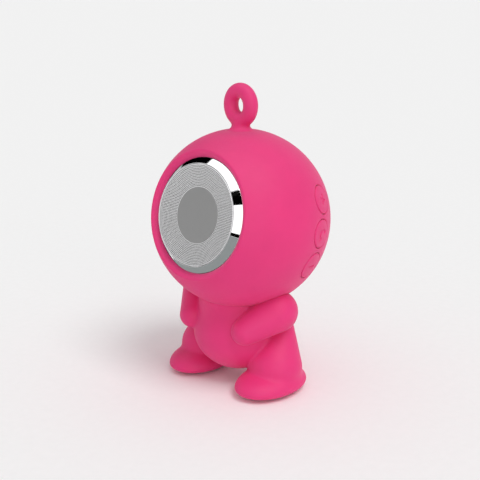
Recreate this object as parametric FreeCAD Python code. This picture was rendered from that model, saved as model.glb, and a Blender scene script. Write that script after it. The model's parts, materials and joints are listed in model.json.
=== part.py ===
import FreeCAD, Part

import math
import os

from FreeCAD import Placement, Rotation, Vector

# Shower speaker: a round speaker pod under a silicone skin, on a small silicone figure.
# Millimetres, +Z up, the face looks towards -Y, the figure's left hand is +X.
# The origin is on the standing plane, under the middle of the bounding box.

# ---------------------------------------------------------------- driving dimensions
HEAD_RADIUS = 35.0              # outside of the silicone skin
HEAD_Z = 66.2                   # centre of the head above the standing plane
FACE_TILT = 13.0                # degrees the face looks up
SKIN = 2.2                      # silicone wall of the head
HOUSING_RADIUS = 32.6           # outside of the rigid pod
WALL = 2.0                      # housing wall
SEAM_H = 1.0                    # seam between the housing halves, along the face axis

RIM_RADIUS = 24.1               # where the skin leaves the sphere and rolls in
OPENING_RADIUS = 21.7           # opening of the skin, and outer edge of the bezel's bevel
OPENING_H = 23.4                # height of that edge along the face axis
GRILLE_RADIUS = 19.2
GRILLE_RIM_H = 25.9
BADGE_RADIUS = 10.5
BADGE_H = 24.6                  # face of the centre disc
FRONT_WALL_H = 22.2             # front face of the housing's front wall
DRIVER_SEAT_H = 19.3            # where the loudspeaker's flange sits

LOOP_Z = 110.2                  # centre of the hanging loop
LOOP_HALF_WIDTH = 5.0           # middle line of the ring, which is taller than wide
LOOP_HALF_HEIGHT = 5.55
LOOP_TUBE_RADIUS = 2.85
LOOP_HOLE_RADIUS = 2.8
LOOP_NECK_RADIUS = 3.2
LOOP_NECK_TOP = 5.2             # top of the neck below the ring's centre
LOOP_FLARE = 2.0                # how far the neck spreads where it meets the head
LOOP_ROOT = 1.6                 # how deep the neck is rooted in the head, and its flare's height

BUTTON_POLAR = 103.4            # degrees from the face axis to the row of buttons
BUTTON_STEP = 22.0              # degrees between buttons, about the face axis
BUTTON_RADIUS = 5.4
BUTTON_GAP = 0.3
BUTTON_PROUD = 0.2
BUTTONS = {"volume_up": 1, "play_call": 0, "volume_down": -1}

PORT_LENGTH = 12.4              # charging port cover, side to side
PORT_HEIGHT = 8.4
PORT_GAP = 0.3
PORT_LIP = 0.9                  # how far the cover's sealing lip reaches into the housing
SIDE_HOLE_POLAR = 162.0         # microphone hole and status light, either side of the cover

NECK_RADIUS = 8.0               # hole in the skin for the neck
STUD_CLEARANCE = 0.05           # radial clearance of small guided stems

# the little figure: centres, semi-axes and end radii of its rounded masses
TORSO = {"centre": Vector(0, -1.2, 20.0), "semi": Vector(17.7, 17.5, 14.0)}
CHEST = {"low": 22.0, "low_r": 16.4, "top": 43.8, "top_r": 15.2}
ARM = {"shoulder": Vector(20.0, -1.3, 32.8), "shoulder_r": 8.3,
       "hand": Vector(14.2, -13.0, 26.1), "hand_r": 5.3}
LEG = {"hip": Vector(16.8, 5.0, 22.2), "hip_r": 5.6,
       "ankle": Vector(18.9, -0.4, 9.0), "ankle_r": 10.6}
FOOT = {"centre": Vector(18.8, -2.9, 3.3), "half_width": 11.5, "half_length": 16.5,
        "rise": 6.2, "drop": 4.0, "turn": -3.0}

# the frontmost remaining point of the skin is its rim, so the head's axis is set back
# from the origin until the bounding box is centred front to back
RIM_POLAR = math.asin(RIM_RADIUS / HEAD_RADIUS)
RIM_FRONT = HEAD_RADIUS * math.cos(RIM_POLAR - math.radians(FACE_TILT))
HEAD_Y = -(HEAD_RADIUS - RIM_FRONT) / 2

ORIGIN = Vector(0, 0, 0)
AXIS_X = Vector(1, 0, 0)
AXIS_Y = Vector(0, 1, 0)
AXIS_Z = Vector(0, 0, 1)

# face frame: local X is the figure's left, local Y is up, local Z looks out of the face
FACE = Placement(Vector(0, HEAD_Y, HEAD_Z), Rotation(AXIS_X, 90 - FACE_TILT))
FIGURE = Placement(Vector(0, HEAD_Y, 0), Rotation())


# ---------------------------------------------------------------- small helpers
def save(name, shape, place=FACE):
    solid = shape.copy()
    solid.Placement = place.multiply(solid.Placement)
    solid.exportStep("parts/%s.step" % name)


def on_sphere(radius, r):
    return math.sqrt(radius ** 2 - r ** 2)


def revolve(points, start=0.0, sweep=360.0):
    """Turn a closed outline of (radius, height) points about local Z."""
    wire = Part.makePolygon([Vector(r, 0, h) for r, h in points + points[:1]])
    solid = Part.Face(wire).revolve(ORIGIN, AXIS_Z, sweep)
    solid.rotate(ORIGIN, AXIS_Z, start)
    return solid


def revolve_edges(edges):
    return Part.Face(Part.Wire(edges)).revolve(ORIGIN, AXIS_Z, 360)


def line(a, b):
    return Part.LineSegment(Vector(a[0], 0, a[1]), Vector(b[0], 0, b[1])).toShape()


def arc(a, middle, b):
    points = [Vector(p[0], 0, p[1]) for p in (a, middle, b)]
    return Part.Arc(*points).toShape()


def cylinder(radius, low, high, x=0.0, y=0.0):
    return Part.makeCylinder(radius, high - low, Vector(x, y, low), AXIS_Z)


def ring(inner, outer, low, high):
    return cylinder(outer, low, high).cut(cylinder(inner, low - 1, high + 1))


def box(x, y, z):
    """A box from three (low, high) pairs."""
    corner = Vector(x[0], y[0], z[0])
    return Part.makeBox(x[1] - x[0], y[1] - y[0], z[1] - z[0], corner)


def shell(outer, inner):
    return Part.makeSphere(outer).cut(Part.makeSphere(inner))


def direction(polar, azimuth=0.0):
    """Unit vector from the head's centre, polar angle measured from the face axis."""
    p = math.radians(polar)
    a = math.radians(azimuth)
    return Vector(math.sin(p) * math.cos(a), math.sin(p) * math.sin(a), math.cos(p))


def radial(shape, polar, azimuth=0.0):
    """Carry a shape built along local Z to a direction from the head's centre."""
    turned = shape.copy()
    turned.rotate(ORIGIN, AXIS_Y, polar)
    turned.rotate(ORIGIN, AXIS_Z, azimuth)
    return turned


def around(shape, radius, count, start=0.0):
    """Copies of a shape at even angles on a circle about local Z."""
    copies = []
    for i in range(count):
        angle = start + i * 360 / count
        item = shape.copy()
        item.translate(Vector(radius, 0, 0))
        item.rotate(ORIGIN, AXIS_Z, angle)
        copies.append(item)
    return copies


def fused(shapes):
    return shapes[0].multiFuse(shapes[1:]).removeSplitter()


def mirrored(shape):
    return shape.mirror(ORIGIN, AXIS_X)


def stadium(length, height, low, high):
    """An upright oval plug along local Z, its long side along X."""
    half = (length - height) / 2
    middle = box((-half, half), (-height / 2, height / 2), (low, high))
    ends = [cylinder(height / 2, low, high, x) for x in (-half, half)]
    return fused([middle] + ends)


# ---------------------------------------------------------------- places inside the head
DOWN_POLAR = 90 + FACE_TILT     # straight down, seen from the face axis
DOWN_AZIMUTH = -90.0
POST_RADIUS = 1.5               # button post through the housing
STEM_RADIUS = 0.95              # switch stem
CAP_INNER = 33.3                # underside of a button cap
POST_END = 29.0                 # end of the button post, on top of the switch stem
SWITCH_TOP = 28.2
SWITCH_BASE = 26.8
FLEX = 0.3
CARRIER_INNER = 24.9
BOARD_FRONT = -1.0              # main board, along the face axis
BOARD = 1.6
BOARD_RADIUS = 21.5
BOSS_RADIUS = 26.6              # circle of the housing screws
BATTERY_LENGTH = 30.0
BATTERY_WIDTH = 24.0
BATTERY_FRONT = -9.5
BATTERY_BACK = -17.5
PAD = 1.5
SOCKET_WIDTH = 7.5              # micro USB shell
SOCKET_HEIGHT = 2.6
SOCKET_MOUTH = -31.4
SOCKET_INNER = -26.4
SOCKET_LOW = -1.3
CHARGE_BOARD = 1.0
SEAL_HALF_WIDTH = 4.75
SEAL_HALF_HEIGHT = 2.3
LIGHT_PIPE_RADIUS = 0.9
MEMBRANE_H = 23.0
BEZEL_SCREW_CIRCLE = 20.65
BEZEL_SCREW_RADIUS = 0.65
BEZEL_SCREW_TIP = 22.8
FLANGE_RADIUS = 19.5            # loudspeaker flange
BASKET_HOLE = 17.0
EDGE_H = DRIVER_SEAT_H + 0.8    # glue plane of the surround
CONE_RADIUS = 13.9
CONE_NECK_H = 15.0
COIL_RADIUS = 5.4
SPIDER_H = 12.6
PLATE_TOP = 10.8
PLATE_HOLE = 6.2
MAGNET_LOW = 5.3
MAGNET_RADIUS = 11.0
POLE_RADIUS = 5.0
NECK_BOSS = 26.0                # inner end of the neck's screw boss
NECK_SCREW_RADIUS = 1.5
NECK_SCREW_TIP = 46.0
CORE_DEPTH = 3.2                # silicone over the figure's rigid core
CORE_WALL = 2.0
CORE_NECK_LOW = 26.0            # where the core's neck starts, above the standing plane
CORE_POST_RADIUS = 3.2          # post that takes the neck screw
CORE_POST_LOW = 14.0
CORE_SCREW_HOLE_LOW = 18.0
CORE_BOSS_RADIUS = 2.4
CORE_SCREW_SIDE = 6.5
CORE_SCREW_PLACE = Vector(0, 9.5, 18.0)


# ---------------------------------------------------------------- skin, buttons, cover
def loop():
    """The hanging ring on its flared neck, in the figure's own upright axes."""
    ring_path = Part.Ellipse(Vector(0, 0, LOOP_HALF_HEIGHT), Vector(LOOP_HALF_WIDTH, 0, 0), ORIGIN)
    section = Part.Wire(Part.makeCircle(LOOP_TUBE_RADIUS, Vector(0, 0, LOOP_HALF_HEIGHT), AXIS_X))
    tube = Part.Wire(ring_path.toShape()).makePipeShell([section], True, False)
    tube.translate(Vector(0, 0, LOOP_Z))
    crown = HEAD_Z + HEAD_RADIUS
    root = crown - LOOP_ROOT
    top = LOOP_Z - LOOP_NECK_TOP
    flare = LOOP_NECK_RADIUS + LOOP_FLARE
    foot_edge = (flare, HEAD_Z + on_sphere(HEAD_RADIUS, flare) - 0.06)
    waist = (LOOP_NECK_RADIUS, crown + LOOP_ROOT)
    middle = (LOOP_NECK_RADIUS + LOOP_FLARE / 4, crown + LOOP_ROOT / 4)
    outline = [
        line((0, root), (flare, root)),
        line((flare, root), foot_edge),
        arc(foot_edge, middle, waist),
        line(waist, (LOOP_NECK_RADIUS, top)),
        line((LOOP_NECK_RADIUS, top), (0, top)),
        line((0, top), (0, root)),
    ]
    neck = revolve_edges(outline)
    hole = Part.makeCylinder(LOOP_HOLE_RADIUS, 20, Vector(0, -10, LOOP_Z), AXIS_Y)
    return neck.fuse(tube).cut(hole)


def skin_shell():
    """Silicone sphere with a rolled rim round the face opening."""
    inner = HEAD_RADIUS - SKIN
    rim_h = on_sphere(HEAD_RADIUS, RIM_RADIUS)
    seat_h = FRONT_WALL_H + 0.1
    seat_r = on_sphere(inner, seat_h)
    middle = (RIM_RADIUS + OPENING_RADIUS) / 2
    roll = (middle - 0.22, (rim_h + OPENING_H) / 2 + 0.27)
    return revolve_edges([
        arc((0, -HEAD_RADIUS), (HEAD_RADIUS, 0), (RIM_RADIUS, rim_h)),
        arc((RIM_RADIUS, rim_h), roll, (OPENING_RADIUS, OPENING_H)),
        line((OPENING_RADIUS, OPENING_H), (OPENING_RADIUS, seat_h)),
        line((OPENING_RADIUS, seat_h), (seat_r, seat_h)),
        arc((seat_r, seat_h), (inner, 0), (0, -inner)),
        line((0, -inner), (0, -HEAD_RADIUS)),
    ])


def head_skin():
    upright = loop()
    upright.Placement = FACE.inverse().multiply(FIGURE)
    skin = skin_shell().fuse(upright).cut(Part.makeSphere(HEAD_RADIUS - SKIN))
    holes = [radial(cylinder(BUTTON_RADIUS + BUTTON_GAP, 30, 40), BUTTON_POLAR, side * BUTTON_STEP)
             for side in BUTTONS.values()]
    holes.append(stadium(PORT_LENGTH + 2 * PORT_GAP, PORT_HEIGHT + 2 * PORT_GAP, -40, -30))
    holes.append(radial(cylinder(0.6, 30, 40), SIDE_HOLE_POLAR))
    holes.append(radial(cylinder(LIGHT_PIPE_RADIUS, 30, 40), SIDE_HOLE_POLAR, 180))
    holes.append(radial(cylinder(NECK_RADIUS + 0.1, 30, 40), DOWN_POLAR, DOWN_AZIMUTH))
    return skin.cut(holes[0].multiFuse(holes[1:]))


def button(side):
    """Domed cap flush with the skin, with a post down to its switch."""
    disc = cylinder(BUTTON_RADIUS, CAP_INNER - 3, HEAD_RADIUS + 3)
    cap = disc.common(shell(HEAD_RADIUS + BUTTON_PROUD, CAP_INNER))
    post = cylinder(POST_RADIUS, POST_END, CAP_INNER + 0.5)
    return radial(cap.fuse(post), BUTTON_POLAR, side * BUTTON_STEP)


def port_cover():
    """Flush silicone cover with a sealing lip and a small thumb tab."""
    plate = stadium(PORT_LENGTH, PORT_HEIGHT, -40, -30).common(
        shell(HEAD_RADIUS, HOUSING_RADIUS + 0.5))
    lip = stadium(PORT_LENGTH - 3.4, PORT_HEIGHT - 4.0, -HOUSING_RADIUS - 1, PORT_LIP - HOUSING_RADIUS)
    tab = stadium(5.0, 1.2, -HEAD_RADIUS - 0.4, -HEAD_RADIUS + 1)
    tab.translate(Vector(0, 1.4 - PORT_HEIGHT / 2, 0))
    return fused([plate, lip, tab])


# ---------------------------------------------------------------- bezel, grille, membrane
BEZEL_SKIRT_RADIUS = 21.6
BEZEL_BASE_H = 20.5
CLAMP_RADIUS = 17.8
GRILLE = 0.5
GRILLE_SEAT_H = 24.0


def bezel_ring():
    """Chromed ring: a bevel up to the grille, a seat inside, a clamp foot on the driver."""
    edge = GRILLE_RADIUS + 0.05
    body = revolve([
        (CLAMP_RADIUS, BEZEL_BASE_H + 0.4),
        (BEZEL_SKIRT_RADIUS - 1.9, BEZEL_BASE_H + 0.4),
        (BEZEL_SKIRT_RADIUS - 1.9, BEZEL_BASE_H),
        (BEZEL_SKIRT_RADIUS, BEZEL_BASE_H),
        (BEZEL_SKIRT_RADIUS, OPENING_H),
        (edge + 0.25, GRILLE_RIM_H - 0.1),
        (edge, GRILLE_RIM_H - 0.1),
        (edge, GRILLE_SEAT_H),
        (CLAMP_RADIUS, GRILLE_SEAT_H),
    ])
    pilot = cylinder(BEZEL_SCREW_RADIUS + 0.02, BEZEL_BASE_H - 1, BEZEL_SCREW_TIP + 0.2)
    return body.cut(Part.Compound(bezel_screw_places(pilot)))


def dish_h(r):
    """Height of the grille's outer face: flat in the middle, rising to the rim."""
    share = max(0.0, (r - BADGE_RADIUS) / (GRILLE_RADIUS - BADGE_RADIUS))
    return BADGE_H + (GRILLE_RIM_H - BADGE_H) * share ** 1.5


def grille():
    """Dished sheet with a rolled rim, a recess for the centre disc and rings of holes."""
    steps = [BADGE_RADIUS + i * (GRILLE_RADIUS - 0.3 - BADGE_RADIUS) / 6 for i in range(1, 7)]
    recess = BADGE_H - 0.4
    top = [(0, recess), (BADGE_RADIUS + 0.05, recess), (BADGE_RADIUS + 0.05, BADGE_H)]
    top += [(r, dish_h(r)) for r in steps]
    top += [(GRILLE_RADIUS, GRILLE_RIM_H - 0.3), (GRILLE_RADIUS, GRILLE_SEAT_H + 0.02)]
    under = [(GRILLE_RADIUS - GRILLE, GRILLE_SEAT_H + 0.02)]
    under += [(r - 0.25, dish_h(r) - GRILLE) for r in reversed(steps)]
    under += [(BADGE_RADIUS + 0.3, BADGE_H - GRILLE), (BADGE_RADIUS - 0.1, recess - GRILLE)]
    under += [(0, recess - GRILLE)]
    sheet = revolve(top + under)
    pitch = 1.45
    drill = cylinder(0.42, BADGE_H - 3, GRILLE_RIM_H + 3)
    holes = []
    for row in range(5):
        radius = BADGE_RADIUS + 1.1 + row * pitch
        count = int(2 * math.pi * radius / pitch)
        holes += around(drill, radius, count, start=row * 180 / count)
    return sheet.cut(Part.Compound(holes))


def centre_disc():
    return cylinder(BADGE_RADIUS, BADGE_H - 0.38, BADGE_H)


def water_membrane():
    return cylinder(CLAMP_RADIUS - 0.03, MEMBRANE_H, MEMBRANE_H + 0.2)


# ---------------------------------------------------------------- rigid housing
SCREW_RADIUS = 1.0
SCREW_SEAT_H = -12.0
SCREW_TIP_H = 8.0
POST_AZIMUTHS = (90, 235, 305)
POST_CIRCLE = 18.0
LIP_LENGTH = PORT_LENGTH - 3.4
LIP_HEIGHT = PORT_HEIGHT - 4.0


def seal_groove():
    return ring(31.0, 32.0, SEAM_H - 0.6, SEAM_H + 0.6)


def bezel_screw_places(item):
    return around(item, BEZEL_SCREW_CIRCLE, 4, 45)


def front_housing():
    """Front half: dome, front wall with the driver's seat and the bezel's recess, bosses."""
    inner = HOUSING_RADIUS - WALL
    wall_back = DRIVER_SEAT_H - WALL
    corner = on_sphere(HOUSING_RADIUS, FRONT_WALL_H)
    seam_out = on_sphere(HOUSING_RADIUS, SEAM_H)
    seam_in = on_sphere(inner, SEAM_H)
    back_r = on_sphere(inner, wall_back)
    recess = BEZEL_SKIRT_RADIUS + 0.05
    body = revolve_edges([
        arc((seam_out, SEAM_H), (on_sphere(HOUSING_RADIUS, 12.0), 12.0), (corner, FRONT_WALL_H)),
        line((corner, FRONT_WALL_H), (recess, FRONT_WALL_H)),
        line((recess, FRONT_WALL_H), (recess, BEZEL_BASE_H)),
        line((recess, BEZEL_BASE_H), (FLANGE_RADIUS + 0.1, BEZEL_BASE_H)),
        line((FLANGE_RADIUS + 0.1, BEZEL_BASE_H), (FLANGE_RADIUS + 0.1, DRIVER_SEAT_H)),
        line((FLANGE_RADIUS + 0.1, DRIVER_SEAT_H), (BASKET_HOLE, DRIVER_SEAT_H)),
        line((BASKET_HOLE, DRIVER_SEAT_H), (BASKET_HOLE, wall_back)),
        line((BASKET_HOLE, wall_back), (back_r, wall_back)),
        arc((back_r, wall_back), (on_sphere(inner, 9.0), 9.0), (seam_in, SEAM_H)),
        line((seam_in, SEAM_H), (seam_out, SEAM_H)),
    ])
    bosses = around(cylinder(2.6, SEAM_H, 12), BOSS_RADIUS, 4, 45)
    body = body.multiFuse(bosses)
    cuts = around(cylinder(SCREW_RADIUS + 0.02, SEAM_H - 1, SCREW_TIP_H + 0.5), BOSS_RADIUS, 4, 45)
    cuts += bezel_screw_places(cylinder(BEZEL_SCREW_RADIUS + 0.02, 15, BEZEL_BASE_H + 1))
    cuts.append(seal_groove())
    return body.cut(cuts[0].multiFuse(cuts[1:]))


def rear_housing():
    """Rear half: dome, screw wells, board posts, battery ribs, shelf, sockets and holes."""
    half_space = cylinder(HEAD_RADIUS, -HEAD_RADIUS, SEAM_H)
    dome = shell(HOUSING_RADIUS, HOUSING_RADIUS - WALL).common(half_space)
    inside = Part.makeSphere(HOUSING_RADIUS - WALL / 2)
    grown = around(cylinder(3.2, -22, SEAM_H), BOSS_RADIUS, 4, 45)
    grown += [posts for a in POST_AZIMUTHS
              for posts in around(cylinder(2.2, -32, BOARD_FRONT - BOARD), POST_CIRCLE, 1, a)]
    grown += [box((side * 13 - 0.75, side * 13 + 0.75), (-9, 9), (-31, BATTERY_BACK - PAD))
              for side in (-1, 1)]
    grown.append(box((-8, 5), (SOCKET_LOW - CHARGE_BOARD - 1.3, SOCKET_LOW - CHARGE_BOARD),
                     (-32, -21)))
    grown.append(radial(cylinder(5.0, NECK_BOSS, 31.6), DOWN_POLAR, DOWN_AZIMUTH))
    body = dome.multiFuse([item.common(inside) for item in grown])
    cuts = around(cylinder(2.2, -40, SCREW_SEAT_H), BOSS_RADIUS, 4, 45)
    cuts += around(cylinder(SCREW_RADIUS + 0.1, -40, SEAM_H + 1), BOSS_RADIUS, 4, 45)
    cuts += [hole for a in POST_AZIMUTHS
             for hole in around(cylinder(0.82, -9.1, 0), POST_CIRCLE, 1, a)]
    cuts += [radial(cylinder(POST_RADIUS + 0.4, 28, 36), BUTTON_POLAR, side * BUTTON_STEP)
             for side in BUTTONS.values()]
    cuts.append(box((-SEAL_HALF_WIDTH, SEAL_HALF_WIDTH), (-SEAL_HALF_HEIGHT, SEAL_HALF_HEIGHT),
                    (-34, -29)))
    recess = stadium(LIP_LENGTH + 0.8, LIP_HEIGHT + 1.4, -34, PORT_LIP - HOUSING_RADIUS + 0.1)
    recess.translate(Vector(0, -0.35, 0))
    cuts.append(recess)
    cuts.append(radial(cylinder(0.5, 28, 36), SIDE_HOLE_POLAR))
    cuts.append(radial(cylinder(LIGHT_PIPE_RADIUS, 27, 36), SIDE_HOLE_POLAR, 180))
    cuts.append(radial(cylinder(NECK_SCREW_RADIUS + 0.1, 20, 36), DOWN_POLAR, DOWN_AZIMUTH))
    cuts.append(seal_groove())
    return body.cut(cuts[0].multiFuse(cuts[1:]))


def housing_seal():
    return ring(31.05, 31.95, SEAM_H - 0.55, SEAM_H + 0.55)


def pan_screw(shank_radius, seat, tip, head_radius, head_length):
    """A screw along local Z whose head sits below its seat, pointing up to its tip."""
    head = cylinder(head_radius, seat - head_length, seat)
    shank = cylinder(shank_radius, seat - 0.1, tip)
    slot_depth = 0.3 * head_length
    slot = box((-head_radius, head_radius), (-0.25, 0.25),
               (seat - head_length - 1, seat - head_length + slot_depth))
    return head.fuse(shank).cut(slot)


def housing_screws():
    screw = pan_screw(SCREW_RADIUS, SCREW_SEAT_H, SCREW_TIP_H, 2.0, 1.6)
    return Part.Compound(around(screw, BOSS_RADIUS, 4, 45))


def bezel_screws():
    screw = pan_screw(BEZEL_SCREW_RADIUS, DRIVER_SEAT_H - WALL, BEZEL_SCREW_TIP, 1.4, 1.0)
    return Part.Compound(bezel_screw_places(screw))


# ---------------------------------------------------------------- loudspeaker driver
def speaker_basket():
    """Pressed steel basket with a flat flange and four windows."""
    seat = DRIVER_SEAT_H
    frame = revolve([
        (FLANGE_RADIUS, seat), (FLANGE_RADIUS, seat + 0.8), (16.2, seat + 0.8), (16.2, seat + 0.3),
        (11.6, PLATE_TOP + 0.8), (PLATE_HOLE, PLATE_TOP + 0.8), (PLATE_HOLE, PLATE_TOP),
        (12.2, PLATE_TOP), (16.9, seat - 0.3), (16.9, seat)])
    window = box((9, 20), (-4, 4), (PLATE_TOP + 1.6, seat - 1.6))
    return frame.cut(Part.Compound(around(window, 0, 4, 45)))


def speaker_yoke():
    back = cylinder(MAGNET_RADIUS, MAGNET_LOW - 1.5, MAGNET_LOW)
    return back.fuse(cylinder(POLE_RADIUS, MAGNET_LOW - 1.0, PLATE_TOP + 0.1))


def speaker_magnet():
    return ring(7.0, MAGNET_RADIUS, MAGNET_LOW, PLATE_TOP - 1.5)


def speaker_top_plate():
    return ring(PLATE_HOLE, 10.5, PLATE_TOP - 1.5, PLATE_TOP)


def voice_coil():
    former = ring(COIL_RADIUS, COIL_RADIUS + 0.15, 8.0, CONE_NECK_H)
    winding = ring(COIL_RADIUS + 0.15, COIL_RADIUS + 0.3, 8.2, 11.4)
    return former.fuse(winding)


def speaker_cone():
    neck = COIL_RADIUS + 0.2
    return revolve([(neck, CONE_NECK_H - 0.4), (CONE_RADIUS, EDGE_H - 0.3), (CONE_RADIUS, EDGE_H + 0.1),
                    (neck, CONE_NECK_H)])


def dust_cap():
    edge, rise, thick = 6.2, 2.0, 0.3
    base = CONE_NECK_H + 0.5
    radius = (edge ** 2 + rise ** 2) / (2 * rise)
    cap = shell(radius, radius - thick)
    cap.translate(Vector(0, 0, base + rise - radius))
    return cap.common(cylinder(edge, base, base + rise + 1))


def speaker_surround():
    """Half-roll rubber edge between cone and flange."""
    outer = BASKET_HOLE - 0.1
    middle = (outer + CONE_RADIUS) / 2
    roll = (outer - CONE_RADIUS) / 2
    low, high = EDGE_H, EDGE_H + 0.3
    return revolve_edges([
        line((FLANGE_RADIUS, low), (FLANGE_RADIUS, high)),
        line((FLANGE_RADIUS, high), (outer, high)),
        arc((outer, high), (middle, high + roll), (CONE_RADIUS, high)),
        line((CONE_RADIUS, high), (CONE_RADIUS, low)),
        line((CONE_RADIUS, low), (CONE_RADIUS + 0.3, low)),
        arc((CONE_RADIUS + 0.3, low), (middle, low + roll - 0.3), (outer - 0.3, low)),
        line((outer - 0.3, low), (FLANGE_RADIUS, low)),
    ])


def speaker_spider():
    """Corrugated centring disc between coil and basket."""
    inner, outer, waves = COIL_RADIUS + 0.2, 12.0, 4
    count = waves * 8
    radii = [inner + (outer - inner) * i / count for i in range(count + 1)]
    heights = [SPIDER_H + 0.25 * math.sin(2 * math.pi * waves * i / count) for i in range(count + 1)]
    low = list(zip(radii, heights))
    high = [(r, h + 0.2) for r, h in reversed(low)]
    return revolve(low + high)


def speaker_gasket():
    return ring(CLAMP_RADIUS + 0.1, FLANGE_RADIUS - 0.2, EDGE_H + 0.3, BEZEL_BASE_H + 0.4)


def speaker_terminals():
    return box((-3, 3), (-16.2, -14.2), (12.4, 14.0))


# ---------------------------------------------------------------- electronics
def lead(a, middle, b, radius=0.45):
    """One insulated wire along a single arc."""
    path = Part.Wire(Part.Arc(a, middle, b).toShape())
    start = path.Edges[0]
    section = Part.Wire(Part.makeCircle(radius, a, start.tangentAt(start.FirstParameter)))
    return path.makePipeShell([section], True, False)


def speaker_leads():
    return Part.Compound([lead(Vector(x, -15.2, 12.2), Vector(x, -17.0, 6.6), Vector(x, -15.2, 1.0))
                          for x in (-1.5, 1.5)])


def battery_leads():
    return Part.Compound([lead(Vector(15.4, y, -13.0), Vector(18.6, y, -9.6), Vector(17.0, y, -5.0))
                          for y in (-1.2, 1.2)])


def main_board():
    """Round board with three screw holes."""
    disc = cylinder(BOARD_RADIUS, BOARD_FRONT - BOARD, BOARD_FRONT)
    holes = [hole for a in POST_AZIMUTHS
             for hole in around(cylinder(0.9, -5, 0), POST_CIRCLE, 1, a)]
    return disc.cut(Part.Compound(holes))


def board_screws():
    screw = cylinder(0.8, -9.0, BOARD_FRONT + 0.1).fuse(cylinder(1.6, BOARD_FRONT, BOARD_FRONT + 0.9))
    return Part.Compound([item for a in POST_AZIMUTHS for item in around(screw, POST_CIRCLE, 1, a)])


def board_connectors():
    speaker_plug = box((-2.6, 2.6), (-16.8, -13.6), (BOARD_FRONT, 0.8))
    battery_plug = box((15.4, 18.6), (-2.6, 2.6), (-4.6, BOARD_FRONT - BOARD))
    return Part.Compound([speaker_plug, battery_plug])


def bluetooth_module():
    back = BOARD_FRONT - BOARD
    board = box((-2, 11), (3, 13), (back - 0.8, back))
    can = box((-1.5, 7.5), (3.5, 12.5), (back - 2.2, back - 0.8))
    return board.fuse(can)


def amplifier_chip():
    back = BOARD_FRONT - BOARD
    return box((-10, -5), (4, 9), (back - 1.0, back))


def board_capacitors():
    back = BOARD_FRONT - BOARD
    return Part.Compound([cylinder(2.0, back - 4.5, back, -15, y) for y in (-5, 0, 5)])


def battery_cell():
    cell = box((-BATTERY_LENGTH / 2, BATTERY_LENGTH / 2), (-BATTERY_WIDTH / 2, BATTERY_WIDTH / 2),
               (BATTERY_BACK, BATTERY_FRONT))
    return cell.makeFillet(1.5, cell.Edges)


def battery_pad():
    return box((-13.8, 13.8), (-9, 9), (BATTERY_BACK - PAD, BATTERY_BACK))


def button_flex_board():
    return arc_strip(SWITCH_BASE - FLEX, SWITCH_BASE, 3.4, -32, 64)


def arc_strip(inner, outer, half_width, start, sweep):
    """A strip bent about the face axis, square to the row of buttons."""
    p = math.radians(BUTTON_POLAR)
    out = (math.sin(p), math.cos(p))
    side = (math.cos(p), -math.sin(p))
    corners = [(inner, -half_width), (outer, -half_width), (outer, half_width), (inner, half_width)]
    outline = [(out[0] * s + side[0] * w, out[1] * s + side[1] * w) for s, w in corners]
    return revolve(outline, start, sweep)


def switch_carrier():
    """Curved backing behind the switches, with a foot at each end on the housing."""
    strip = arc_strip(CARRIER_INNER, SWITCH_BASE - FLEX, 3.4, -33, 66)
    feet = [arc_strip(CARRIER_INNER, 30.3, 2.6, start, 4) for start in (-37, 33)]
    return fused([strip] + feet)


def switch_body():
    case = box((-2.25, 2.25), (-2.25, 2.25), (SWITCH_BASE, SWITCH_TOP))
    return case.cut(cylinder(STEM_RADIUS + STUD_CLEARANCE, SWITCH_BASE + 0.1, SWITCH_TOP + 1))


def tact_switches():
    return Part.Compound([radial(switch_body(), BUTTON_POLAR, side * BUTTON_STEP)
                          for side in BUTTONS.values()])


def switch_stem(side):
    stem = cylinder(STEM_RADIUS, SWITCH_BASE + 0.75, POST_END)
    return radial(stem, BUTTON_POLAR, side * BUTTON_STEP)


def charge_board():
    return box((-9.5, 5.3), (SOCKET_LOW - CHARGE_BOARD, SOCKET_LOW), (-28.2, -20.5))


def usb_socket():
    """Micro USB shell with its tongue."""
    half = SOCKET_WIDTH / 2
    high = SOCKET_LOW + SOCKET_HEIGHT
    case = box((-half, half), (SOCKET_LOW, high), (SOCKET_MOUTH, SOCKET_INNER))
    hollow = box((-half + 0.3, half - 0.3), (SOCKET_LOW + 0.3, high - 0.3), (SOCKET_MOUTH - 1, -27.6))
    tongue = box((-1.9, 1.9), (0.1, 0.7), (SOCKET_MOUTH + 0.5, -27.4))
    return case.cut(hollow).fuse(tongue)


def usb_seal():
    half = SOCKET_WIDTH / 2
    high = SOCKET_LOW + SOCKET_HEIGHT
    block = box((-SEAL_HALF_WIDTH, SEAL_HALF_WIDTH), (-SEAL_HALF_HEIGHT, SEAL_HALF_HEIGHT),
                (-31.2, -30.5))
    return block.cut(box((-half, half), (SOCKET_LOW, high), (-34, -28)))


def status_led():
    return box((-9.0, -7.4), (SOCKET_LOW, SOCKET_LOW + 0.9), (-26.2, -25.0))


def light_pipe():
    rod = cylinder(LIGHT_PIPE_RADIUS - 0.03, 28.0, HEAD_RADIUS - 0.2)
    return radial(rod, SIDE_HOLE_POLAR, 180)


def microphone():
    return radial(cylinder(2.0, 27.7, 29.8), SIDE_HOLE_POLAR)


def microphone_boot():
    return radial(ring(2.0, 2.6, 27.5, 30.3), SIDE_HOLE_POLAR)


# ---------------------------------------------------------------- the little figure
def ellipsoid(centre, semi):
    matrix = FreeCAD.Matrix()
    matrix.scale(semi)
    body = Part.makeSphere(1.0).transformGeometry(matrix)
    body.translate(centre)
    return body


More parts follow.
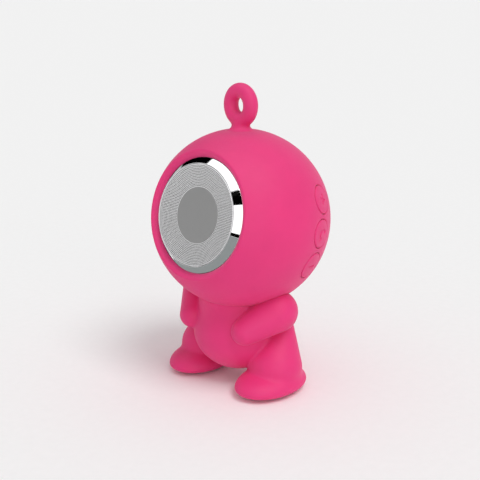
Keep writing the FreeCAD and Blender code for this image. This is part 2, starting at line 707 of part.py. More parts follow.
def tapered_limb(a, radius_a, b, radius_b):
    """Two balls joined by the cone that touches both."""
    span = b - a
    length = span.Length
    lean = (radius_a - radius_b) / length
    square = math.sqrt(1 - lean ** 2)
    cone = Part.makeCone(radius_a * square, radius_b * square, length - (radius_a - radius_b) * lean)
    cone.translate(Vector(0, 0, radius_a * lean))
    limb = fused([Part.makeSphere(radius_a), cone,
                  Part.makeSphere(radius_b, Vector(0, 0, length))])
    limb.Placement = Placement(a, Rotation(AXIS_Z, span))
    return limb


def foot():
    """Flattened ball, a little deeper above its widest level than below it."""
    halves = []
    for low, high, depth in ((0, 90, FOOT["rise"]), (-90, 0, FOOT["drop"])):
        matrix = FreeCAD.Matrix()
        matrix.scale(Vector(FOOT["half_width"], FOOT["half_length"], depth))
        halves.append(Part.makeSphere(1.0, ORIGIN, AXIS_Z, low, high, 360).transformGeometry(matrix))
    ball = halves[0].fuse(halves[1])
    ball.rotate(ORIGIN, AXIS_Z, FOOT["turn"])
    ball.translate(FOOT["centre"])
    return ball


def both_sides(shape):
    return [shape, mirrored(shape)]


def head_ball(radius):
    return Part.makeSphere(radius, Vector(0, 0, HEAD_Z))


def torso(shrink=0.0):
    """Egg-shaped belly with a straight chest up into the neck."""
    semi = TORSO["semi"] - Vector(shrink, shrink, shrink)
    belly = ellipsoid(TORSO["centre"], semi)
    chest = Part.makeCone(CHEST["low_r"] - shrink, CHEST["top_r"] - shrink,
                          CHEST["top"] - CHEST["low"],
                          Vector(0, TORSO["centre"].y, CHEST["low"]))
    return [belly, chest]


def leg(shrink=0.0):
    return tapered_limb(LEG["hip"], LEG["hip_r"] - shrink, LEG["ankle"], LEG["ankle_r"] - shrink)


def above_floor(shape):
    return shape.common(box((-50, 50), (-50, 50), (0, 60)))


def core_solid(shrink):
    parts = torso(shrink) + both_sides(leg(shrink))
    floor = box((-50, 50), (-50, 50), (shrink, 60))
    return fused(parts).common(floor)


def core_shell():
    """Rigid hollow core inside the silicone body, closed under the head by its neck."""
    outer = core_solid(CORE_DEPTH).cut(head_ball(HEAD_RADIUS + 0.2))
    neck = Part.makeCylinder(NECK_RADIUS, 16, Vector(0, 0, CORE_NECK_LOW))
    neck = neck.cut(head_ball(HOUSING_RADIUS))
    inner = core_solid(CORE_DEPTH + CORE_WALL).cut(head_ball(HEAD_RADIUS + 0.2 + CORE_WALL))
    post = Part.makeCylinder(CORE_POST_RADIUS, 20, Vector(0, 0, CORE_POST_LOW))
    bosses = []
    for side in (-1, 1):
        start = CORE_SCREW_PLACE + Vector(side * CORE_SCREW_SIDE, 30, 0)
        bosses.append(Part.makeCylinder(CORE_BOSS_RADIUS, 60, start, Vector(0, -1, 0)))
    solid = outer.fuse(neck).cut(inner.cut(neck.multiFuse([post] + bosses)))
    screw_hole = Part.makeCylinder(NECK_SCREW_RADIUS + 0.02, 20, Vector(0, 0, CORE_SCREW_HOLE_LOW))
    return solid.cut(screw_hole)


def core_half(front):
    ys = (-50, 0) if front else (0, 50)
    half = core_shell().common(box((-50, 50), ys, (0, 60)))
    holes = [screw.common(box((-50, 50), (-50, 50), (0, 60))) for screw in core_screw_shapes(0.02)]
    return half.cut(Part.Compound(holes))


def core_screw_shapes(extra=0.0):
    shapes = []
    for side in (-1, 1):
        place = CORE_SCREW_PLACE + Vector(side * CORE_SCREW_SIDE, 0, 0)
        head = Part.makeCylinder(1.8 + extra, 1.4, place, Vector(0, -1, 0))
        shank = Part.makeCylinder(0.9 + extra, 22, place, Vector(0, -1, 0))
        shapes.append(head.fuse(shank))
    return shapes


def neck_screw():
    """Screw from inside the pod, down through the neck into the core."""
    head = cylinder(2.7, NECK_BOSS - 2.2, NECK_BOSS)
    shank = cylinder(NECK_SCREW_RADIUS, NECK_BOSS - 0.2, NECK_SCREW_TIP)
    slot = cylinder(1.2, NECK_BOSS - 3, NECK_BOSS - 1)
    return radial(head.fuse(shank).cut(slot), DOWN_POLAR, DOWN_AZIMUTH)


def body_skin():
    """Silicone torso, arms, legs and feet in one moulding, hollow for the core."""
    arm = tapered_limb(ARM["shoulder"], ARM["shoulder_r"], ARM["hand"], ARM["hand_r"])
    parts = torso() + both_sides(arm) + both_sides(leg()) + both_sides(foot())
    figure = above_floor(parts[0].multiFuse(parts[1:]))
    hollow = core_solid(CORE_DEPTH)
    neck = Part.makeCylinder(NECK_RADIUS, 40, Vector(0, 0, CORE_NECK_LOW))
    return figure.cut(head_ball(HEAD_RADIUS)).cut(hollow.fuse(neck))


# ---------------------------------------------------------------- write the parts
def main():
    os.makedirs("parts", exist_ok=True)
    for part in (head_skin, port_cover, bezel_ring, grille, centre_disc, water_membrane,
                 front_housing, rear_housing, housing_seal, housing_screws, bezel_screws,
                 speaker_basket, speaker_yoke, speaker_magnet, speaker_top_plate, voice_coil,
                 speaker_cone, dust_cap, speaker_surround, speaker_spider, speaker_gasket,
                 speaker_terminals, speaker_leads, main_board, board_screws, board_connectors,
                 bluetooth_module, amplifier_chip, board_capacitors, battery_cell, battery_pad,
                 battery_leads, button_flex_board, switch_carrier, tact_switches, charge_board,
                 usb_socket, usb_seal, status_led, light_pipe, microphone, microphone_boot,
                 neck_screw):
        save(part.__name__, part())
    for name, side in BUTTONS.items():
        save("button_" + name, button(side))
        save("switch_stem_" + name, switch_stem(side))
    save("body_skin", body_skin(), FIGURE)
    save("core_front", core_half(True), FIGURE)
    save("core_back", core_half(False), FIGURE)
    save("core_screws", Part.Compound(core_screw_shapes()), FIGURE)


main()
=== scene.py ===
import json
import math

import bmesh
import bpy
import numpy as np
from mathutils import Matrix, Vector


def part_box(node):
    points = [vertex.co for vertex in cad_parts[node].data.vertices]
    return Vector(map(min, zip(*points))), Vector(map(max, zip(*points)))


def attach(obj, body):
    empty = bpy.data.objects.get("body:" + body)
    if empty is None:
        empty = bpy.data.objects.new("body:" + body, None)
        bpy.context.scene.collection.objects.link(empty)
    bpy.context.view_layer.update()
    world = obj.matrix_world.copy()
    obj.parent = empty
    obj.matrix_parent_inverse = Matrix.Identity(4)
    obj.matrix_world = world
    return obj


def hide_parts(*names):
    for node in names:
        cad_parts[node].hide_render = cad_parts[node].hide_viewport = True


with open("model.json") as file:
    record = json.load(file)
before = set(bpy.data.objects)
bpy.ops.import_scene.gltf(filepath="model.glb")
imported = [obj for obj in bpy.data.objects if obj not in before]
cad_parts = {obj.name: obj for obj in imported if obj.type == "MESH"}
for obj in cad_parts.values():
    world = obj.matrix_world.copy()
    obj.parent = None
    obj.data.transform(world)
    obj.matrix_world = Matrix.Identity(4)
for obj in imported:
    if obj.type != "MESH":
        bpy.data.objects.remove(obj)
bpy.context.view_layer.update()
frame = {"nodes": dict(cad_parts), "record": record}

# Shower speaker: silicone skins, buttons, chrome bezel and perforated grille round the CAD
# frame. Shapes are worked out in millimetres and become metres in add_piece().

MM = 0.001

# ---------------------------------------------------------------- dimensions, most as in the CAD
HEAD_RADIUS = 35.0
SKIN_INNER = 32.8
FACE_TILT = math.radians(13.0)
RIM_RADIUS = 24.1
OPENING_RADIUS = 21.7
OPENING_H = 23.4
SEAT_H = 22.3
BEVEL_OUTER = (21.6, 23.4)      # radius and height of the bevel's two edges
BEVEL_INNER = (19.34, 25.78)
GRILLE_RADIUS = 19.0            # a little under the CAD's, so that a dark gap shows round it
GRILLE_RIM_H = 25.9
GRILLE_SEAT_H = 24.02
BADGE_RADIUS = 10.5
BADGE_H = 24.6

LOOP_HALF_WIDTH = 5.0           # middle line of the hanging ring, which is taller than wide
LOOP_HALF_HEIGHT = 5.55
LOOP_TUBE_RADIUS = 2.85
LOOP_CENTRE_H = 44.0            # above the head's centre
LOOP_NECK = ((-3.0, 3.6), (3.2, 2.8))   # height over the crown and radius, at its two ends

BUTTON_POLAR = 103.4            # degrees from the face axis
BUTTON_STEP = 22
BUTTON_RADIUS = 5.4
BUTTON_HOLE = 5.7
BUTTON_DOME = 35.1
BUTTON_INNER = 33.3
BUTTON_EDGE = 0.4               # rounding of the cap's rim
BUTTON_WALL = 0.8               # width of the cap's skirt
POST_RADIUS = 1.5
POST_END = 29.0
POST_CHAMFER = 0.2
BUTTONS = {"volume_up": 1, "play_call": 0, "volume_down": -1}

COVER_STRAIGHT = 2.0            # half the straight part of the port cover
COVER_END = 4.2                 # radius of its round ends
COVER_GAP = 0.3
COVER_EDGE = 0.35
COVER_INNER = 33.3
SIDE_HOLE_POLAR = 162.0
MICROPHONE_HOLE = 0.6
MICROPHONE_LIP = 0.2
LIGHT_HOLE = 0.9
LIGHT_LIP = 0.25

# the CAD's box gives the head's centre: its back is HEAD_RADIUS behind, its loop above
skin_high = np.array(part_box("head_skin")[1]) / MM
LOOP_TOP = LOOP_CENTRE_H + LOOP_HALF_HEIGHT + LOOP_TUBE_RADIUS
HEAD = np.array([0.0, skin_high[1] - HEAD_RADIUS, skin_high[2] - LOOP_TOP])

# face frame: first axis to the figure's left, second up the face, third out of the face
FACE_AXES = np.array([
    [1.0, 0.0, 0.0],
    [0.0, math.sin(FACE_TILT), math.cos(FACE_TILT)],
    [0.0, -math.cos(FACE_TILT), math.sin(FACE_TILT)],
])


def from_face(points):
    """Face-frame millimetres to row-frame millimetres."""
    return HEAD + np.asarray(points) @ FACE_AXES


def from_figure(points):
    """The figure's own upright millimetres, its axis at x = y = 0, to row-frame millimetres."""
    return np.asarray(points) + np.array([0.0, HEAD[1], 0.0])


# ---------------------------------------------------------------- mesh helpers
class Loops:
    """Vertices and faces, built loop by loop."""

    def __init__(self):
        self.points = []
        self.faces = []
        self.count = 0

    def add(self, points):
        points = np.asarray(points, float).reshape(-1, 3)
        self.points.append(points)
        index = np.arange(self.count, self.count + len(points))
        self.count += len(points)
        return index

    def bridge(self, a, b):
        """Quads between two closed loops of the same length."""
        quads = np.stack([a, np.roll(a, -1), np.roll(b, -1), b], axis=1)
        self.faces.extend(quads.tolist())

    def chain(self, rings):
        """Bridges successive rings of points and gives the first and last loops' indices."""
        loops = [self.add(ring) for ring in rings]
        for a, b in zip(loops, loops[1:]):
            self.bridge(a, b)
        return loops[0], loops[-1]

    def cap(self, loop, centre):
        """A fan from a closed loop to one point."""
        tip = self.add([centre])[0]
        for a, b in zip(loop, np.roll(loop, -1)):
            self.faces.append([int(a), int(b), int(tip)])

    def stitch(self, a, angle_a, b, angle_b):
        """Triangles between two closed loops with different counts, merged by angle."""
        i, j = 0, 0
        na, nb = len(a), len(b)
        turn = 2 * math.pi
        while i < na or j < nb:
            next_a = angle_a[(i + 1) % na] + turn * ((i + 1) // na)
            next_b = angle_b[(j + 1) % nb] + turn * ((j + 1) // nb)
            if j >= nb or (i < na and next_a <= next_b):
                self.faces.append([int(a[i % na]), int(a[(i + 1) % na]), int(b[j % nb])])
                i += 1
            else:
                self.faces.append([int(a[i % na]), int(b[(j + 1) % nb]), int(b[j % nb])])
                j += 1

    def all_points(self):
        return np.concatenate(self.points)


def circle(count):
    return np.arange(count) * 2 * math.pi / count


def ring_points(radius, height, angles):
    """A ring in the face frame; radius and height are numbers or one value per angle."""
    radius = np.broadcast_to(radius, angles.shape)
    height = np.broadcast_to(height, angles.shape)
    return np.stack([radius * np.cos(angles), radius * np.sin(angles), height], axis=1)


def rounded(points, radii, steps=5):
    """A closed outline with a round of the given radius at each corner."""
    points = [np.array(p, float) for p in points]
    line = []
    for i, (corner, radius) in enumerate(zip(points, radii)):
        if radius == 0:
            line.append(corner)
            continue
        before = points[i - 1] - corner
        after = points[(i + 1) % len(points)] - corner
        before /= np.linalg.norm(before)
        after /= np.linalg.norm(after)
        half = math.acos(float(np.clip(before @ after, -1, 1))) / 2
        reach = radius / math.tan(half)
        middle = (before + after) / np.linalg.norm(before + after)
        centre = corner + middle * radius / math.sin(half)
        first = corner + before * reach - centre
        last = corner + after * reach - centre
        sweep = math.pi - 2 * half
        for s in np.linspace(0, 1, steps + 1):
            spot = (first * math.sin((1 - s) * sweep) + last * math.sin(s * sweep)) / math.sin(sweep)
            line.append(centre + spot)
    return line


def smoothed(line, passes):
    """An open line with its corners relaxed and its ends kept."""
    line = np.array(line, float)
    for _ in range(passes):
        line[1:-1] += 0.5 * ((line[:-2] + line[2:]) / 2 - line[1:-1])
    return line


def revolved(outline, segments):
    """A closed solid of revolution about the face axis from a closed (radius, height) outline."""
    made = Loops()
    angles = circle(segments)
    first, last = made.chain([ring_points(r, h, angles) for r, h in outline])
    made.bridge(last, first)
    return made


def add_piece(name, points, faces, slot, replaced, body="figure", sharp=35.0):
    """Makes the object in metres, with outward faces, smooth shading and its CAD facts."""
    mesh = bpy.data.meshes.new(name)
    mesh.from_pydata((np.asarray(points) * MM).tolist(), [], faces)
    work = bmesh.new()
    work.from_mesh(mesh)
    bmesh.ops.remove_doubles(work, verts=work.verts, dist=1e-7)
    bmesh.ops.recalc_face_normals(work, faces=work.faces)
    work.to_mesh(mesh)
    work.free()
    mesh.shade_smooth()
    mesh.set_sharp_from_angle(angle=math.radians(sharp))
    piece = bpy.data.objects.new(name, mesh)
    bpy.context.scene.collection.objects.link(piece)
    piece.data.materials.append(MATERIALS[slot])
    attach(piece, body)
    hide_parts(*replaced)
    return piece


# ---------------------------------------------------------------- materials
NOISE_LOW = 0.3                 # the stretch of a texture's values that a finish spans
NOISE_HIGH = 0.7
WIDE_GRAIN = 90.0               # cells per metre of the slow change in gloss

# values on the silicone shader's own sockets
SILICONE_SOCKETS = {
    "Specular IOR Level": 0.32,
    "Sheen Weight": 0.12,
    "Sheen Roughness": 0.45,
    "Sheen Tint": (1.0, 0.75, 0.85, 1),
    "Subsurface Weight": 0.12,
    "Subsurface Radius": (1.0, 0.25, 0.35),
    "Subsurface Scale": 0.0015,
}


def set_values(node, values):
    for socket, value in values.items():
        node.inputs[socket].default_value = value


def add_node(tree, kind, values, **feeds):
    """A shader node with values on its sockets and other nodes' outputs fed into them."""
    node = tree.nodes.new(kind)
    set_values(node, values)
    for socket, output in feeds.items():
        tree.links.new(output, node.inputs[socket])
    return node


def multiply(tree, output):
    """A node that multiplies the output by its second input."""
    node = tree.nodes.new("ShaderNodeMath")
    node.operation = "MULTIPLY"
    tree.links.new(output, node.inputs[0])
    return node


def new_material(name):
    material = bpy.data.materials.new(name)
    material.use_nodes = True
    return material, material.node_tree, material.node_tree.nodes["Principled BSDF"]


def texture_place(tree, scale):
    """Object coordinates in metres, scaled to texture cells per metre."""
    place = tree.nodes.new("ShaderNodeTexCoord")
    size = scale if isinstance(scale, tuple) else (scale, scale, scale)
    mapping = add_node(tree, "ShaderNodeMapping", {"Scale": size}, Vector=place.outputs["Object"])
    return mapping.outputs["Vector"]


def noise(tree, scale, detail=4.0):
    values = {"Scale": 1.0, "Detail": detail, "Roughness": 0.6}
    return add_node(tree, "ShaderNodeTexNoise", values, Vector=texture_place(tree, scale)).outputs["Fac"]


def weave(tree, scale):
    """Crossed threads: the product of two wave textures."""
    threads = []
    for axis in ("X", "Z"):
        wave = add_node(tree, "ShaderNodeTexWave", {"Scale": 1.0, "Distortion": 0.6},
                        Vector=texture_place(tree, scale))
        wave.bands_direction = axis
        threads.append(wave.outputs["Fac"])
    crossed = multiply(tree, threads[0])
    tree.links.new(threads[1], crossed.inputs[1])
    return crossed.outputs[0]


def speckle(tree, scale):
    node = add_node(tree, "ShaderNodeTexVoronoi", {"Scale": 1.0}, Vector=texture_place(tree, scale))
    return node.outputs["Distance"]


def ramp(tree, value, low, high, start=NOISE_LOW, end=NOISE_HIGH):
    """Maps a texture value to a colour between low and high."""
    node = add_node(tree, "ShaderNodeValToRGB", {}, Fac=value)
    for element, place, colour in zip(node.color_ramp.elements, (start, end), (low, high)):
        element.position = place
        element.color = (*colour, 1)
    return node.outputs["Color"]


def spread_value(tree, value, low, high):
    values = {"From Min": NOISE_LOW, "From Max": NOISE_HIGH, "To Min": low, "To Max": high}
    return add_node(tree, "ShaderNodeMapRange", values, Value=value).outputs["Result"]


def dress(tree, shader, colours, roughness, height, strength, depth):
    """Feeds the shader's colour, roughness and relief."""
    bump = add_node(tree, "ShaderNodeBump", {"Strength": strength, "Distance": depth}, Height=height)
    tree.links.new(colours, shader.inputs["Base Color"])
    tree.links.new(roughness, shader.inputs["Roughness"])
    tree.links.new(bump.outputs["Normal"], shader.inputs["Normal"])


def tone(colour, factor):
    return tuple(min(1.0, c * factor) for c in colour)


def surface(name, colour, spread, grain, rough, metallic=0.0, relief=0.15, depth=0.00002,
            pattern=noise, sockets=None):
    """A procedural finish: colour, roughness and relief all follow textures of one grain."""
    material, tree, shader = new_material(name)
    fine = pattern(tree, grain)
    colours = ramp(tree, fine, tone(colour, 1 - spread), tone(colour, 1 + spread))
    roughness = spread_value(tree, noise(tree, WIDE_GRAIN), *rough)
    dress(tree, shader, colours, roughness, fine, relief, depth)
    set_values(shader, {"Metallic": metallic, **(sockets or {})})
    return material


def silicone(name, colour):
    """Soft-touch silicone: broad faint mottling, matte micro grain and a few pale specks."""
    material, tree, shader = new_material(name)
    body = ramp(tree, noise(tree, 60.0, detail=3.0), tone(colour, 0.965), tone(colour, 1.03))
    dust = ramp(tree, speckle(tree, 420.0), (1.0, 1.0, 1.0), (0.0, 0.0, 0.0), 0.02, 0.06)
    level = multiply(tree, dust)
    level.inputs[1].default_value = 0.25
    mixed = tree.nodes.new("ShaderNodeMix")
    mixed.data_type = "RGBA"
    mixed.inputs["B"].default_value = (*tone(colour, 1.25), 1)
    tree.links.new(level.outputs[0], mixed.inputs["Factor"])
    tree.links.new(body, mixed.inputs["A"])
    roughness = spread_value(tree, noise(tree, 900.0), 0.50, 0.60)
    grain = noise(tree, 9000.0, detail=2.0)
    dress(tree, shader, mixed.outputs["Result"], roughness, grain, 0.25, 0.00001)
    set_values(shader, SILICONE_SOCKETS)
    return material


def chrome(name):
    """Polished plating with hairline wiping marks in its gloss."""
    material, tree, shader = new_material(name)
    marks = noise(tree, (300.0, 5000.0, 900.0), detail=6.0)
    colours = ramp(tree, noise(tree, 120.0), (0.90, 0.90, 0.905), (0.96, 0.96, 0.965))
    dress(tree, shader, colours, spread_value(tree, marks, 0.025, 0.06), marks, 0.02, 0.000004)
    shader.inputs["Metallic"].default_value = 1.0
    return material


def make_materials():
    soft_rubber = {"Specular IOR Level": 0.35}
    glassy = {"Transmission Weight": 0.9, "IOR": 1.49}
    brushed = (250.0, 250.0, 6000.0)
    made = {"silicone_pink": silicone("silicone_pink", (0.82, 0.036, 0.205)), "chrome": chrome("chrome")}

    def finish(name, *values, **more):
        made[name] = surface(name, *values, **more)

    finish("grille_metal", (0.86, 0.86, 0.87), 0.05, 5000.0, (0.36, 0.48), 0.6, 0.1)
    finish("badge_grey", (0.31, 0.31, 0.31), 0.05, 7000.0, (0.38, 0.48), 0.35, 0.12)
    finish("membrane_black", (0.008, 0.008, 0.009), 0.5, 9000.0, (0.8, 0.95), relief=0.6,
           depth=0.00004, pattern=weave)
    finish("housing_plastic", (0.02, 0.02, 0.022), 0.15, 4200.0, (0.42, 0.58), relief=0.3)
    finish("core_plastic", (0.52, 0.52, 0.50), 0.04, 4200.0, (0.4, 0.55), relief=0.25)
    finish("seal_rubber", (0.012, 0.012, 0.012), 0.2, 6000.0, (0.55, 0.75), sockets=soft_rubber)
    finish("screw_steel", (0.55, 0.55, 0.56), 0.08, brushed, (0.22, 0.36), 1.0)
    finish("basket_steel", (0.014, 0.014, 0.015), 0.2, 3800.0, (0.35, 0.5), 0.2, 0.3)
    finish("magnet_grey", (0.16, 0.16, 0.18), 0.1, 3000.0, (0.28, 0.42), 0.9)
    finish("plate_steel", (0.50, 0.45, 0.28), 0.12, brushed, (0.25, 0.38), 1.0)
    finish("coil_copper", (0.58, 0.22, 0.09), 0.25, (50.0, 50.0, 14000.0), (0.25, 0.35), 0.9, 0.5)
    finish("cone_black", (0.013, 0.013, 0.013), 0.3, 2600.0, (0.6, 0.8), relief=0.6)
    finish("spider_cloth", (0.50, 0.30, 0.10), 0.3, 7000.0, (0.75, 0.9), relief=0.8, depth=0.00005,
           pattern=weave)
    finish("board_green", (0.012, 0.14, 0.045), 0.35, 900.0, (0.22, 0.35), relief=0.3, pattern=speckle,
           sockets={"Coat Weight": 0.4})
    finish("flex_amber", (0.55, 0.21, 0.02), 0.12, 1400.0, (0.2, 0.32))
    finish("component_black", (0.012, 0.012, 0.013), 0.25, 5200.0, (0.4, 0.55))
    finish("connector_white", (0.70, 0.68, 0.60), 0.04, 3600.0, (0.35, 0.5))
    finish("can_silver", (0.66, 0.66, 0.67), 0.06, brushed, (0.18, 0.3), 1.0)
    finish("cell_foil", (0.52, 0.53, 0.55), 0.12, 700.0, (0.2, 0.38), 0.8, 0.5, 0.0001)
    finish("foam_black", (0.02, 0.02, 0.022), 0.5, 2600.0, (0.85, 1.0), relief=0.9, depth=0.0002,
           pattern=speckle)
    finish("lead_red", (0.55, 0.012, 0.012), 0.08, 3000.0, (0.3, 0.42))
    finish("clear_plastic", (0.92, 0.93, 0.95), 0.03, 1500.0, (0.05, 0.12), sockets=glassy)
    finish("microphone_alu", (0.66, 0.66, 0.66), 0.06, brushed, (0.25, 0.4), 1.0)
    return made


MATERIALS = make_materials()


def paint_cad_nodes():
    """Every CAD node takes the procedural finish of its record slot."""
    for part in frame["record"]["subparts"]:
        node = frame["nodes"][part["node"]]
        node.data.materials.clear()
        node.data.materials.append(MATERIALS[part["material_slot"]])


# ---------------------------------------------------------------- the head's skin
COLUMNS = 360                   # one per degree round the face axis
SPHERE_START = 48.0             # polar angle where the rim's profile joins the plain sphere
ROWS_BEFORE_BUTTONS = 37
ROWS_BEHIND_BUTTONS = 36
SIDE_HOLE_REACH = 4             # degrees of polar angle kept clear either side of a side hole
SIDE_HOLE_COLUMNS = 13          # columns kept clear either side of a side hole
HOLE_ROUND = 0.35
RIM_BULGE = 0.3                 # how far the rolled rim stands out of a straight cone
RIM_SMOOTHING = 10
SPREAD_SHARES = (0.3, 0.6, 0.85, 1.0)            # rings of mesh from a gap's border to its hole
COVER_SHARES = (0.25, 0.5, 0.75, 0.9, 1.0)
QUARTER_TURN = np.radians([22.5, 45.0, 67.5, 90.0])


def on_ball(radius, ring):
    return np.sqrt(radius ** 2 - np.asarray(ring) ** 2)


def rim_profile():
    """From the outer sphere over the soft rim, down the opening and back to the inner sphere."""
    rim_polar = math.asin(RIM_RADIUS / HEAD_RADIUS)
    polars = np.linspace(math.radians(SPHERE_START), rim_polar, 20)
    line = [(HEAD_RADIUS * math.sin(p), HEAD_RADIUS * math.cos(p)) for p in polars]
    start = np.array(line[-1])
    end = np.array([OPENING_RADIUS, OPENING_H])
    outward = np.array([end[1] - start[1], start[0] - end[0]])
    outward = outward / np.linalg.norm(outward)
    for s in np.linspace(0, 1, 16)[1:]:
        spot = start + (end - start) * s + outward * RIM_BULGE * 4 * s * (1 - s)
        line.append(tuple(spot))
    wall = np.linspace(OPENING_H, SEAT_H, 8)[1:]
    line += [(OPENING_RADIUS, h) for h in wall]
    line = [tuple(p) for p in smoothed(line, RIM_SMOOTHING)]
    seat_radius = float(on_ball(SKIN_INNER, SEAT_H))
    inner_start = math.radians(SPHERE_START)
    line.append((seat_radius, SEAT_H))
    line.append((SKIN_INNER * math.sin(inner_start), SKIN_INNER * math.cos(inner_start)))
    return line


def ball_point(polar, azimuth, radius):
    return radius * np.stack([np.sin(polar) * np.cos(azimuth), np.sin(polar) * np.sin(azimuth),
                              np.cos(polar) * np.ones_like(azimuth)], axis=-1)


def hole_axes(polar, azimuth):
    """Outward, towards the back, and round the face axis, at a place on the sphere."""
    p, a = math.radians(polar), math.radians(azimuth)
    out = np.array([math.sin(p) * math.cos(a), math.sin(p) * math.sin(a), math.cos(p)])
    back = np.array([math.cos(p) * math.cos(a), math.cos(p) * math.sin(a), -math.sin(p)])
    side = np.array([-math.sin(a), math.cos(a), 0.0])
    return out, back, side


def grid_border(rows, columns):
    """Row and column numbers round a rectangle of the grid, as one closed walk."""
    (r0, r1), (c0, c1) = rows, columns
    walk = [(r0, c) for c in range(c0, c1)] + [(r, c1) for r in range(r0, r1)]
    walk += [(r1, c) for c in range(c1, c0, -1)] + [(r, c0) for r in range(r1, r0, -1)]
    return walk


def round_hole(made, outer_loop, inner_loop, axes, radius, edge):
    """Fills a square gap in both walls down to a round hole with a rounded lip."""
    out, back, side = axes
    points = made.all_points()
    border = points[outer_loop] / HEAD_RADIUS
    angle = np.arctan2(border @ side, border @ back)
    reach = np.arccos(np.clip(border @ out, -1, 1))
    across = np.cos(angle)[:, None] * back + np.sin(angle)[:, None] * side

    def spread(share, ball, target):
        polar = (reach * (1 - share) + target * share)[:, None]
        return ball * (np.cos(polar) * out + np.sin(polar) * across)

    def lip(ring, ball):
        return ring * across + math.sqrt(ball ** 2 - ring ** 2) * out

    outer_target = math.asin((radius + edge) / HEAD_RADIUS)
    inner_target = math.asin(radius / SKIN_INNER)
    rings = [spread(s, HEAD_RADIUS, outer_target) for s in SPREAD_SHARES]
    for turn in QUARTER_TURN:
        rings.append(lip(radius + edge * (1 - math.sin(turn)), HEAD_RADIUS - edge * (1 - math.cos(turn))))
    rings += [spread(s, SKIN_INNER, inner_target) for s in reversed(SPREAD_SHARES)]
    first, last = made.chain(rings)
    made.bridge(outer_loop, first)
    made.bridge(last, inner_loop)


def stadium_ring(angles, straight, end):
    """Distance from the middle to an upright oval's edge, for each angle."""
    cos, sin = np.abs(np.cos(angles)), np.abs(np.sin(angles))
    flat = end / np.maximum(sin, 1e-9)
    round_end = straight * cos + np.sqrt(np.maximum(end ** 2 - (straight * sin) ** 2, 0))
    return np.where(flat * cos <= straight, flat, round_end)


def cover_hole(made, outer_loop, inner_loop, polar):
    """Closes both walls at the back pole down to the oval hole of the port cover."""
    angles = circle(COLUMNS)
    end = COVER_END + COVER_GAP
    lip_edge = stadium_ring(angles, COVER_STRAIGHT, end + HOLE_ROUND)

    def spread(share, ball, target):
        border = ball * math.sin(polar)
        ring = border * (1 - share) + target * share
        return ring_points(ring, -on_ball(ball, ring), angles)

    rings = [spread(s, HEAD_RADIUS, lip_edge) for s in COVER_SHARES]
    for turn in QUARTER_TURN:
        ring = stadium_ring(angles, COVER_STRAIGHT, end + HOLE_ROUND * (1 - math.sin(turn)))
        ball = HEAD_RADIUS - HOLE_ROUND * (1 - math.cos(turn))
        rings.append(ring_points(ring, -on_ball(ball, ring), angles))
    hole = stadium_ring(angles, COVER_STRAIGHT, end)
    rings += [spread(s, SKIN_INNER, hole) for s in reversed(COVER_SHARES)]
    first, last = made.chain(rings)
    made.bridge(outer_loop, first)
    made.bridge(last, inner_loop)


def head_shell():
    """The sphere's two walls on one grid, with the rim, the button holes and the rear holes."""
    half = BUTTON_STEP // 2
    band = (BUTTON_POLAR - half, BUTTON_POLAR + half)
    rear = (SIDE_HOLE_POLAR - SIDE_HOLE_REACH, SIDE_HOLE_POLAR + SIDE_HOLE_REACH)
    spans = [(SPHERE_START, band[0], ROWS_BEFORE_BUTTONS), (*band, BUTTON_STEP),
             (band[1], rear[0], ROWS_BEHIND_BUTTONS), (*rear, 2 * SIDE_HOLE_REACH)]
    polars = [SPHERE_START]
    starts = [0]
    for low, high, count in spans:
        polars += list(np.linspace(low, high, count + 1)[1:])
        starts.append(len(polars) - 1)
    polars = np.radians(polars)
    band_rows = (starts[1], starts[2])
    rear_rows = (starts[3], starts[4])
    gaps = [(band_rows, (side * BUTTON_STEP - half, side * BUTTON_STEP + half),
             hole_axes(BUTTON_POLAR, side * BUTTON_STEP), BUTTON_HOLE, HOLE_ROUND)
            for side in BUTTONS.values()]
    for azimuth, radius, lip in ((0, MICROPHONE_HOLE, MICROPHONE_LIP), (180, LIGHT_HOLE, LIGHT_LIP)):
        gaps.append((rear_rows, (azimuth - SIDE_HOLE_COLUMNS, azimuth + SIDE_HOLE_COLUMNS),
                     hole_axes(SIDE_HOLE_POLAR, azimuth), radius, lip))

    open_cell = np.zeros((len(polars) - 1, COLUMNS), bool)
    for rows, (c0, c1), _, _, _ in gaps:
        open_cell[rows[0]:rows[1], np.arange(c0, c1) % COLUMNS] = True

    made = Loops()
    angles = circle(COLUMNS)
    walls = []
    for ball in (HEAD_RADIUS, SKIN_INNER):
        grid = np.array([made.add(ball_point(p, angles, ball)) for p in polars])
        right = np.roll(grid, -1, axis=1)
        quads = np.stack([grid[:-1], right[:-1], right[1:], grid[1:]], axis=-1)
        made.faces.extend(quads[~open_cell].tolist())
        walls.append(grid)
    outer, inner = walls
    for rows, columns, axes, radius, edge in gaps:
        walk = grid_border(rows, columns)
        loops = [np.array([grid[r, c % COLUMNS] for r, c in walk]) for grid in walls]
        round_hole(made, loops[0], loops[1], axes, radius, edge)
    cover_hole(made, outer[-1], inner[-1], polars[-1])
    profile = rim_profile()
    first, last = made.chain([ring_points(r, h, angles) for r, h in profile[1:-1]])
    made.bridge(outer[0], first)
    made.bridge(last, inner[0])
    used = np.unique(np.concatenate([np.array(f) for f in made.faces]))
    fresh = np.full(made.count, -1)
    fresh[used] = np.arange(len(used))
    faces = [[int(fresh[i]) for i in f] for f in made.faces]
    return from_face(made.all_points()[used]), faces


# ---------------------------------------------------------------- rounded masses
def length(points):
    return np.sqrt((points ** 2).sum(axis=-1))


def blend_min(a, b, reach):
    """Union of two distance fields with a round of about that reach between them."""
    share = np.clip(0.5 + 0.5 * (b - a) / reach, 0, 1)
    return b * (1 - share) + a * share - reach * share * (1 - share)


def blend_max(a, b, reach):
    return -blend_min(-a, -b, reach)


def ball_field(points, centre, radius):
    return length(points - np.array(centre)) - radius


